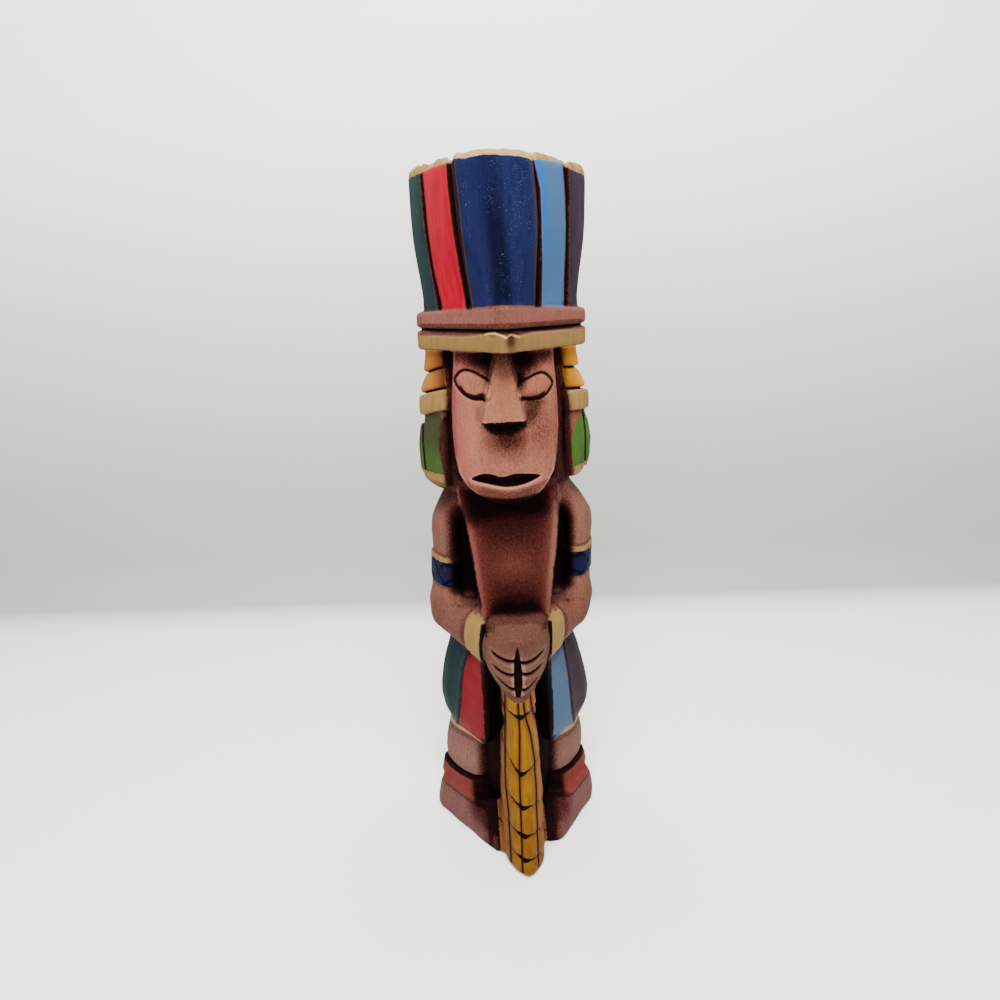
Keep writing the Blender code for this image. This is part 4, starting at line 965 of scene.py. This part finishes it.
def sculptSolid():
    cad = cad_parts["carved_figure"].data
    cad.calc_loop_triangles()
    corners = np.empty(len(cad.loop_triangles) * 3, np.int32)
    cad.loop_triangles.foreach_get("vertices", corners)
    voxel = sculpt["voxel"]
    solid = openvdb.FloatGrid.createLevelSetFromPolygons(
        pointsOf(cad) * 1000, triangles=corners.reshape(-1, 3),
        transform=openvdb.createLinearTransform(voxelSize=voxel), halfWidth=sculpt["band"] / voxel)
    low, high = solid.evalActiveVoxelBoundingBox()
    low = np.array(low) - 2
    field = np.empty(np.array(high) + 3 - low, np.float32)
    solid.copyToArray(field, ijk=tuple(int(v) for v in low))
    field = np.ascontiguousarray(field.transpose(2, 0, 1))      # heights first, so that levels are slices
    print("solid measured")
    crisp = rubbed(field, sculpt["crisp"] / voxel)
    soft = rubbed(crisp, math.sqrt(sculpt["soft"] ** 2 - sculpt["crisp"] ** 2) / voxel)
    near = np.nonzero(np.abs(crisp) < sculpt["reach"])
    centres = np.stack([near[1] + low[0], near[2] + low[1], near[0] + low[2]], 1) * voxel
    spot = onBillet(centres)
    share = softness(spot)
    depth = crisp[near] * (1 - share) + soft[near] * share
    depth -= sculpt["grow"][0] + (sculpt["grow"][1] - sculpt["grow"][0]) * share
    for bottom, top, carve in reliefs:
        first, last = np.searchsorted(spot.z, (bottom, top))
        depth[first:last] += carve(spot.slice(first, last))
    first, last = np.searchsorted(spot.z, (204, 216))
    depth[first:last] = cutMouth(spot.slice(first, last), depth[first:last])
    # the foot stays flat on the floor
    depth = np.maximum(depth, -spot.z)
    field = crisp
    field[near] = depth
    print("relief carved")
    grid = openvdb.FloatGrid(sculpt["band"])
    grid.transform = openvdb.createLinearTransform(voxelSize=voxel)
    grid.copyFromArray(np.ascontiguousarray(field.transpose(1, 2, 0)), ijk=tuple(int(v) for v in low))
    points, quads = grid.convertToQuads(isovalue=0.0)
    return points, quads.astype(np.int32), field, low, voxel


def meshFrom(points, quads):
    mesh = bpy.data.meshes.new("carvedTotem")
    mesh.vertices.add(len(points))
    mesh.vertices.foreach_set("co", points.astype(np.float32).ravel())
    mesh.loops.add(quads.size)
    mesh.loops.foreach_set("vertex_index", quads.ravel())
    mesh.polygons.add(len(quads))
    mesh.polygons.foreach_set("loop_start", np.arange(0, quads.size, 4, dtype=np.int32))
    mesh.update(calc_edges=True)
    mesh.validate()
    return mesh


def plainness(spot):      # 1 where the surface can be thinned freely, low where fine paint needs it
    fore, z, reach = spot.fore, spot.z, spot.reach
    front = ramp(fore, -2, 6)
    busy = np.maximum.reduce([hump(z, low, high, 1) for low, high in sculpt["fineBands"]] + [
        hump(z, 142, 166, 1) * (reach > 28),
        ramp(staffWithin(spot), -1.5, -0.5), hump(z, 99, 124, 1) * (fore > 42),
        hump(z, 236, 270, 1) * (fore > 43.5) * (reach < 14),
        hump(z, 50, 140, 1) * hump(reach, 12.5, 21, 1) * ramp(fore, 18, 22)])
    return 1 - front * (0.35 + 0.5 * busy)


def lightened(mesh, spot):      # the same surface with fewer triangles
    dense = bpy.data.objects.new("denseTotem", mesh)
    bpy.context.scene.collection.objects.link(dense)
    thin = dense.modifiers.new("thin", "DECIMATE")
    group = dense.vertex_groups.new(name="plainness")
    share = np.round(plainness(spot) * 8).astype(int)
    for level in range(1, 9):
        group.add(np.nonzero(share == level)[0].tolist(), level / 8, "REPLACE")
    thin.vertex_group = group.name
    target = sculpt["triangles"]
    thin.ratio = min(1.0, target / (2 * len(mesh.polygons)))
    thin.use_collapse_triangulate = True
    graph = bpy.context.evaluated_depsgraph_get()
    light = bpy.data.meshes.new_from_object(dense.evaluated_get(graph))
    bpy.data.objects.remove(dense)
    bpy.data.meshes.remove(mesh)
    return light


def sampled(grid, low, unit, points):      # the value at each point of a grid that has heights first
    place = points[:, [2, 0, 1]] / unit - low[[2, 0, 1]]
    cell = np.clip(np.floor(place).astype(int), 0, np.array(grid.shape) - 2)
    return blended(grid, cell.T, np.clip(place - cell, 0, 1).T)


class Coats:      # what is painted where, as numbers for each point of the mesh
    def __init__(self, count):
        self.numbers = {name: np.full(count, -9.0) for name in paints}
        coats = ["shadeCoat", "blushCoat", "wearAndHighlightCoat", "rawWoodAndHighlight"] + [where for _, where, _ in washes]
        self.numbers.update({name: np.zeros(count) for name in coats})
        self.tints = {}

    def add(self, name, within):
        self.numbers[name] = np.maximum(self.numbers[name], np.clip(within, -9, 9))

    def shade(self, amount):      # coats of airbrushed dark paint and of painted shade, the darkest of them counts most
        clear = self.numbers["shadeCoat"]
        amount = np.clip(amount, 0, 1)
        self.numbers["shadeCoat"] = np.maximum(clear, amount) + 0.35 * np.minimum(clear, amount) * (
            1 - np.maximum(clear, amount))

    def blend(self, name, amount):
        self.numbers[name] = np.maximum(self.numbers[name], amount)

    def blush(self, amount):
        self.blend("blushCoat", amount)

    # lighter wood where edges are rubbed, and painted highlights on edges that catch the light
    def wearAndHighlight(self, amount):
        self.blend("wearAndHighlightCoat", amount)

    def raw(self, amount):
        self.blend("rawWoodAndHighlight", amount)

    def line(self, name, offset, where=True):      # drawn where the offset is near 0
        self.numbers[name] = np.where(where, np.clip(offset, -99, 99), 9.0)

    def tint(self, name, amount):
        self.tints[name] = np.maximum(self.tints.get(name, 0.0), amount)


stains = {      # the wood stain's colour on each part, as red, green and blue out of 255
    "plain": (92, 60, 51),
    "brim": (118, 78, 66),
    "face": (152, 96, 78),
    "nose": (130, 83, 63),
    "chin": (92, 57, 39),
    "ear": (104, 64, 50),
    "chest": (84, 42, 34),
    "arm": (112, 74, 62),
    "hand": (84, 56, 46),
    "calf": (108, 76, 68),
    "foot": (96, 62, 60),
}


def linear(red, green, blue):
    scale = [value / 255 for value in (red, green, blue)]
    return tuple(v / 12.92 if v <= 0.04045 else ((v + 0.055) / 1.055) ** 2.4 for v in scale) + (1.0,)


def paintMaps(mesh, field, low, voxel):
    points = pointsOf(mesh).astype(float)
    spot = onBillet(points, pointsOf(mesh, "vertex_normals", "vector"))
    coat = Coats(len(points))
    for paintPart in (paintCrown, paintBrim, paintFace, paintEars, paintTorso, paintHands, paintSkirt,
                      paintLegs, paintStaff):
        paintPart(spot, coat)
    # hollows and edges, from how much wood lies round each point; hollows and creases are later darkened by
    # them, airbrush and painted shade together, and edges lightened
    wood = np.clip(0.5 - field / (2 * voxel), 0, 1)
    close = sampled(rubbed(wood, 1.3 / voxel), low, voxel, points) - 0.5
    coarse = wood[::3, ::3, ::3]
    wide = sampled(rubbed(coarse, 4.5 / (3 * voxel)), low / 3, 3 * voxel, points) - 0.5
    coat.numbers["cavity"] = close
    coat.numbers["hollow"] = wide
    stain = np.tile(linear(*stains["plain"]), (len(points), 1))
    for name, amount in coat.tints.items():
        amount = np.clip(amount, 0, 1)[:, None]
        stain = stain * (1 - amount) + np.array(linear(*stains[name])) * amount
    attribute = mesh.attributes.new("stainColour", "FLOAT_COLOR", "POINT")
    attribute.data.foreach_set("color", stain.astype(np.float32).ravel())
    for name, values in coat.numbers.items():
        attribute = mesh.attributes.new(name, "FLOAT", "POINT")
        attribute.data.foreach_set("value", np.asarray(values, np.float32))


# Painted wood

class Wire:      # a node's output that can be used in sums
    def __init__(self, socket, bench):
        self.socket, self.bench = socket, bench

    def sum(self, operation, first, second=0.0):
        return self.bench.node("Math", {"operation": operation}, {0: first, 1: second})

    def __add__(self, other):
        return self.sum("ADD", self, other)

    __radd__ = __add__

    def __sub__(self, other):
        return self.sum("SUBTRACT", self, other)

    def __rsub__(self, other):
        return self.sum("SUBTRACT", other, self)

    def __mul__(self, other):
        return self.sum("MULTIPLY", self, other)

    __rmul__ = __mul__

    def __abs__(self):
        return self.sum("ABSOLUTE", self)


class PaintBench:      # makes one material and its nodes
    def __init__(self, name):
        self.material = bpy.data.materials.new(name)
        self.material.use_nodes = True
        self.tree = self.material.node_tree
        self.tree.nodes.clear()

    def node(self, kind, settings=None, inputs=None, output=0):
        made = self.tree.nodes.new("ShaderNode" + kind)
        for name, value in (settings or {}).items():
            setattr(made, name, value)
        for name, value in (inputs or {}).items():
            if isinstance(value, Wire):
                self.tree.links.new(value.socket, made.inputs[name])
            else:
                made.inputs[name].default_value = value
        return Wire(made.outputs[output], self) if made.outputs else None

    def number(self, name, output="Fac"):      # what the carving holds at each point
        return self.node("Attribute", {"attribute_type": "GEOMETRY", "attribute_name": name}, {}, output)

    def mix(self, amount, under, over, way="MIX"):
        return self.node("Mix", {"data_type": "RGBA", "blend_type": way}, {0: amount, 6: under, 7: over}, 2)

    def step(self, value, start, end):      # 0 before start, 1 after end
        return self.node("MapRange", {"interpolation_type": "SMOOTHSTEP"},
                         {"Value": value, "From Min": start, "From Max": end})

    def speckle(self, place, size, detail=3.0, rough=0.55):      # noise whose grains are size millimetres
        return self.node("TexNoise", {}, {"Vector": place, "Scale": 1 / size, "Detail": detail,
                                          "Roughness": rough})

    def scaled(self, place, by):
        return self.node("VectorMath", {"operation": "MULTIPLY"}, {0: place, 1: by})

    def finished(self, colour, rough, specular, bump=None):
        values = {"Base Color": colour, "Roughness": rough, "Specular IOR Level": specular}
        values.update({"Normal": bump} if bump else {})
        self.node("OutputMaterial", {}, {"Surface": self.node("BsdfPrincipled", {}, values)})


paints = {      # colour, a second one that it streaks towards, and roughness
    "green": ((30, 48, 47), (22, 38, 38), 0.5),
    "red": ((168, 2, 36), (132, 6, 24), 0.45),
    "navy": ((26, 30, 64), (14, 20, 56), 0.45),
    "sky": ((60, 93, 130), (66, 92, 118), 0.48),
    "plum": ((50, 39, 50), (40, 31, 38), 0.5),
    "coral": ((98, 43, 37), (84, 35, 30), 0.52),
    "ochre": ((118, 82, 12), (88, 54, 12), 0.5),
    "leaf": ((56, 86, 32), (48, 68, 34), 0.52),
    "tassel": ((205, 140, 12), (184, 112, 20), 0.5),
    "cream": ((134, 105, 62), (112, 86, 50), 0.48),
    "gilt": ((126, 99, 57), (108, 84, 48), 0.45),
}

washes = [      # paints that turn towards another colour in places
    ("navy", "deepBlueAndReflection", (8, 10, 32)), ("sky", "brightSky", (36, 92, 156)),
    ("sky", "fadedCloth", (58, 76, 98)), ("red", "fadedCloth", (98, 18, 25)),
    ("green", "fadedCloth", (18, 35, 37)),
    ("plum", "fadedCloth", (40, 32, 38)), ("leaf", "dullSide", (50, 50, 35)),
    ("gilt", "paleGiltAndHighlight", (172, 138, 86)), ("gilt", "umber", (58, 32, 14)),
    ("tassel", "dullSide", (146, 92, 40)), ("tassel", "umber", (92, 46, 24)),
    ("ochre", "peach", (124, 78, 34)),
    ("ochre", "umber", (84, 44, 20))]

finish = {
    "darkRed": (32, 4, 6), "black": (3, 1, 1), "ink": (18, 5, 5),
    "raw": (176, 140, 90), "blush": (140, 68, 70), "wornWoodAndHighlight": (176, 132, 112), "pore": (62, 32, 28),
    "speck": (96, 118, 150),
    "inkHalf": {"eyeLine": 0.8, "quillLine": 0.62, "fingerLine": 0.75, "slitLine": 0.2, "columnLine": 0.50,
                "rowLine": 0.5, "mouthLine": 0.12},
    "filledLines": ("slitLine", "mouthLine"),
    "latticeHalf": 0.09, "latticeInk": (3, 4, 10),
    "bump": 0.5, "bumpDepth": 0.00012, "specular": 0.015,
}


def tone(name):
    return linear(*finish[name])


def woodTexture(bench):      # grain, brush marks and stipple, in millimetres
    place = bench.scaled(bench.node("TexCoord", {}, {}, "Object"), (1000.0, 1000.0, 1000.0))
    marks = {
        "place": place,
        "grain": bench.speckle(bench.scaled(place, (1.0, 1.0, 0.09)), 1.1, 5.0, 0.6),
        "broad": bench.speckle(bench.scaled(place, (1.0, 1.0, 0.3)), 9.0, 3.0),
        "fine": bench.speckle(place, 0.55, 4.0, 0.65),
        "stipple": bench.speckle(place, 0.9, 3.0, 0.7),
        "brush": bench.speckle(bench.scaled(place, (1.0, 1.0, 0.2)), 3.2, 3.0, 0.55),
        "pores": bench.step(bench.speckle(bench.scaled(place, (1.0, 1.0, 0.35)), 0.5, 2.0), 0.54, 0.70)}
    marks["wobble"] = (bench.speckle(place, 3.0, 2.0) - 0.5) * 1.3 + (marks["stipple"] - 0.5) * 0.5
    return marks


def stainedWood(bench, marks):      # colour by part, streaked along the grain, with dark pores
    broad, grain = marks["broad"], marks["grain"]
    wood = bench.number("stainColour", "Color")
    wood = bench.mix(bench.number("blushCoat") * (0.4 + broad * 0.8), wood, tone("blush"))
    wood = bench.mix((grain - 0.32) * 1.6, wood, (0.72, 0.62, 0.58, 1), "MULTIPLY")
    wood = bench.mix(bench.step(broad, 0.5, 0.72) * 0.35, wood, (0.8, 0.7, 0.68, 1), "MULTIPLY")
    wood = bench.mix(marks["pores"] * 0.5, wood, tone("pore"))
    return bench.mix(bench.step(marks["fine"], 0.54, 0.74) * 0.30, wood, tone("wornWoodAndHighlight"))


def overpainted(bench, marks, colour):      # also gives how much of the wood is painted, and roughness
    fine, broad = marks["fine"], marks["broad"]
    rough = 0.62 + (marks["grain"] - 0.5) * 0.2
    painted = 0.0
    for name, (base, streak, gloss) in paints.items():
        mask = bench.step(bench.number(name) + marks["wobble"] * 0.45, -0.12, 0.18)
        coat = bench.mix(bench.step(marks["brush"], 0.38, 0.72) * 0.6, linear(*base), linear(*streak))
        for paint, where, towards in washes:
            if paint == name:
                coat = bench.mix(bench.number(where) * (0.8 + broad * 0.3), coat, linear(*towards))
        coat = bench.mix((fine - 0.35) * 0.5, coat, (0.72, 0.68, 0.66, 1), "MULTIPLY")
        colour = bench.mix(mask, colour, coat)
        rough = rough * (1 - mask) + mask * gloss
        painted = 1 - (1 - painted) * (1 - mask) if painted else mask
        if name == "navy":      # pale dust caught on the dark blue
            specks = bench.step(bench.speckle(marks["place"], 0.42, 1.0), 0.685, 0.735)
            specks = specks * bench.step(broad, 0.40, 0.56)
            colour = bench.mix(mask * specks * 0.6, colour, tone("speck"))
    return colour, painted, rough


def wornAndHighlitEdges(bench, marks, colour, painted):      # edges show lighter, as wear and as painted highlights, and chips show raw wood
    stipple = marks["stipple"]
    edges = bench.step(0 - bench.number("cavity") + (stipple - 0.5) * 0.08, 0.10, 0.22)
    rubbedOffAndHighlit = bench.number("wearAndHighlightCoat") * (0.55 + stipple * 0.9)
    colour = bench.mix(edges * (1 - painted) * 0.28, colour, tone("wornWoodAndHighlight"))
    colour = bench.mix(rubbedOffAndHighlit * (1 - painted), colour, tone("wornWoodAndHighlight"))
    colour = bench.mix(edges * painted * 0.10, colour, tone("raw"))
    chips = bench.step(bench.number("rawWoodAndHighlight") + (stipple - 0.5) * 0.9, 0.45, 0.6)
    return bench.mix(chips * 0.9, colour, tone("raw"))


def shaded(bench, marks, colour, painted):      # dark red first, then black, in specks where it thins
    # hollows and creases darken as airbrushed dark and painted shade, over the coats
    hollow = bench.step(bench.number("hollow"), 0.08, 0.34)
    shade = bench.number("shadeCoat") + hollow * 0.4 + bench.step(bench.number("cavity"), 0.1, 0.3) * 0.25
    specks = (marks["stipple"] - 0.5) * 0.65 + (marks["fine"] - 0.5) * 0.6
    loose = shade + specks * (1 - painted * 0.6)
    red = bench.step(loose, 0.12, 0.78) * (0.94 - painted * 0.5)
    colour = bench.mix(red, colour, tone("darkRed"))
    black = bench.step(loose + painted * 0.16, 0.60, 1.02) * 0.96
    return bench.mix(black, colour, tone("black"))


def inked(bench, marks, colour):      # dark lines in the cuts
    ink = 0.0
    onlyOn = {"quillLine": bench.step(bench.number("leaf") + 0.5, 0.0, 0.6)}
    onlyOn["columnLine"] = onlyOn["rowLine"] = bench.step(bench.number("ochre"), 0.0, 0.6)
    for name, half in finish["inkHalf"].items():
        filled = name in finish["filledLines"]
        offset = bench.number(name) if filled else abs(bench.number(name))
        offset = offset + marks["wobble"] * (0.06 if filled else 0.22)
        line = 1 - bench.step(offset, half * 0.55, half * 1.25)
        line = line * onlyOn[name] if name in onlyOn else line
        ink = 1 - (1 - ink) * (1 - line) if ink else line
    lattice = 0.0
    for name in ("latticeRise", "latticeFall"):
        stroke = abs(bench.node("Math", {"operation": "WRAP"}, {0: bench.number(name), 1: 0.5, 2: -0.5}))
        half = finish["latticeHalf"]
        stroke = 1 - bench.step(stroke + marks["wobble"] * 0.012, half * 0.6, half * 1.4)
        lattice = 1 - (1 - lattice) * (1 - stroke) if lattice else stroke
    lattice = lattice * bench.step(bench.number("latticeWithin"), 0.0, 0.4)
    colour = bench.mix(lattice * 0.9, colour, tone("latticeInk"))
    return bench.mix(ink * (0.80 + marks["fine"] * 0.3), colour, tone("ink"))


def paintedWood():
    bench = PaintBench("paintedWood")
    marks = woodTexture(bench)
    colour, painted, rough = overpainted(bench, marks, stainedWood(bench, marks))
    colour = wornAndHighlitEdges(bench, marks, colour, painted)
    colour = shaded(bench, marks, colour, painted)
    colour = inked(bench, marks, colour)
    height = marks["grain"] * 0.35 + marks["fine"] * 0.25 + marks["brush"] * painted * 0.2
    bump = bench.node("Bump", {}, {"Strength": finish["bump"], "Distance": finish["bumpDepth"],
                                   "Height": height - marks["pores"] * 0.3})
    bench.finished(colour, rough, finish["specular"], bump)
    return bench.material


def makeTotem():
    points, quads, field, low, voxel = sculptSolid()
    lowest, highest = (np.array(corner) * 1000 for corner in cadBox)
    points = np.clip(points, lowest, highest)
    mesh = lightened(meshFrom(points, quads), onBillet(points.astype(float)))
    points = np.clip(pointsOf(mesh), lowest, highest)
    mesh.vertices.foreach_set("co", points.astype(np.float32).ravel())
    mesh.name = "carvedTotem"
    print("mesh thinned to", len(mesh.polygons), "triangles")
    paintMaps(mesh, field, low, voxel)
    mesh.transform(Matrix.Scale(0.001, 4))
    mesh.polygons.foreach_set("use_smooth", np.ones(len(mesh.polygons), bool))
    mesh.materials.clear()
    mesh.materials.append(paintedWood())
    totem = bpy.data.objects.new("carvedTotem", mesh)
    bpy.context.scene.collection.objects.link(totem)
    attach(totem, "root")
    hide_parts("carved_figure")
    print("totem painted")


# Table, light and camera

studio = {
    "floor": (247, 249, 247),
    # the wall's tone at each height: painted shade, darkest just above the floor and paler higher up, as the
    # light falls on it
    "wall": [(0.0, (247, 249, 247)), (0.016, (166, 167, 164)), (0.13, (168, 169, 166)),
             (0.28, (200, 200, 196)), (0.45, (244, 244, 240))],
    "sweepStart": 0.27, "sweepRadius": 0.06, "width": 3.0, "depth": 1.2, "wallHeight": 1.4,
    "world": 0.36,
    "lights": [  # name, place, aimed at, width, watts
        ("topLight", (0.0, -0.48, 1.15), (0.0, 0.0, 0.2), 0.5, 27.0),
        ("frontLight", (-0.12, -1.3, 0.55), (0.0, 0.0, 0.2), 1.2, 12.0),
        ("wallLight", (0.0, 0.02, 1.0), (0.0, 0.33, 0.66), 0.5, 7.5)],
}

view = {
    "lens": 27.18, "sensor": 36.0, "distance": 0.402, "height": 0.293,
    "across": -0.0036, "down": 14.6, "roll": -1.8,
}


def plainFinish(name, tones, rough):      # one tone at each height
    bench = PaintBench(name)
    place = bench.node("TexCoord", {}, {}, "Object")
    height = bench.node("SeparateXYZ", {}, {0: place}, "Z")
    cloud = bench.node("TexNoise", {}, {"Vector": place, "Scale": 3.0, "Detail": 2.0})
    colour = linear(*tones[0][1])
    for (low, _), (high, tone) in zip(tones, tones[1:]):
        rise = bench.node("MapRange", {}, {"Value": height, "From Min": low, "From Max": high})
        colour = bench.mix(rise, colour, linear(*tone))
    colour = bench.mix((cloud - 0.4) * 0.1, colour, (0.9, 0.9, 0.9, 1), "MULTIPLY")
    bench.finished(colour, rough, 0.2)
    return bench.material


def makeStage():
    # a floor that sweeps up into the wall behind
    start, radius = studio["sweepStart"], studio["sweepRadius"]
    profile = [(-studio["depth"], 0.0), (start, 0.0)]
    profile += [(start + radius * math.sin(a), radius * (1 - math.cos(a)))
                for a in (math.radians(90 * k / 16) for k in range(1, 17))]
    profile.append((start + radius, studio["wallHeight"]))
    half = studio["width"] / 2
    points = [(side * half, y, z) for y, z in profile for side in (-1, 1)]
    faces = [(2 * i, 2 * i + 1, 2 * i + 3, 2 * i + 2) for i in range(len(profile) - 1)]
    mesh = bpy.data.meshes.new("tableSweep")
    mesh.from_pydata(points, [], faces)
    mesh.polygons.foreach_set("use_smooth", [True] * len(faces))
    mesh.materials.append(plainFinish("palePaperWithPaintedShade", [(-1.0, studio["floor"])] + studio["wall"], 0.7))
    sweep = bpy.data.objects.new("tableSweep", mesh)
    bpy.context.scene.collection.objects.link(sweep)


def makeLights():
    for name, place, aim, width, watts in studio["lights"]:
        lamp = bpy.data.lights.new(name, "AREA")
        lamp.shape, lamp.size, lamp.energy = "DISK", width, watts
        light = bpy.data.objects.new(name, lamp)
        light.location = place
        light.rotation_euler = (Vector(aim) - Vector(place)).to_track_quat("-Z", "Y").to_euler()
        bpy.context.scene.collection.objects.link(light)
    world = bpy.data.worlds.new("softRoom")
    world.use_nodes = True
    background = world.node_tree.nodes["Background"]
    background.inputs["Color"].default_value = (1.0, 1.0, 1.0, 1.0)
    background.inputs["Strength"].default_value = studio["world"]
    bpy.context.scene.world = world


def makeCamera():
    lens = bpy.data.cameras.new("camera")
    lens.lens, lens.sensor_width = view["lens"], view["sensor"]
    camera = bpy.data.objects.new("camera", lens)
    place = Vector((view["across"] - billet["midAcross"] / 1000,
                    billet["midFore"] / 1000 - view["distance"], view["height"]))
    tilt = Matrix.Rotation(math.radians(90 - view["down"]), 4, "X")
    roll = Matrix.Rotation(math.radians(view["roll"]), 4, "Z")
    camera.matrix_world = Matrix.Translation(place) @ tilt @ roll
    bpy.context.scene.collection.objects.link(camera)
    bpy.context.scene.camera = camera


makeCamera()
makeTotem()
makeStage()
makeLights()
print("stage set")
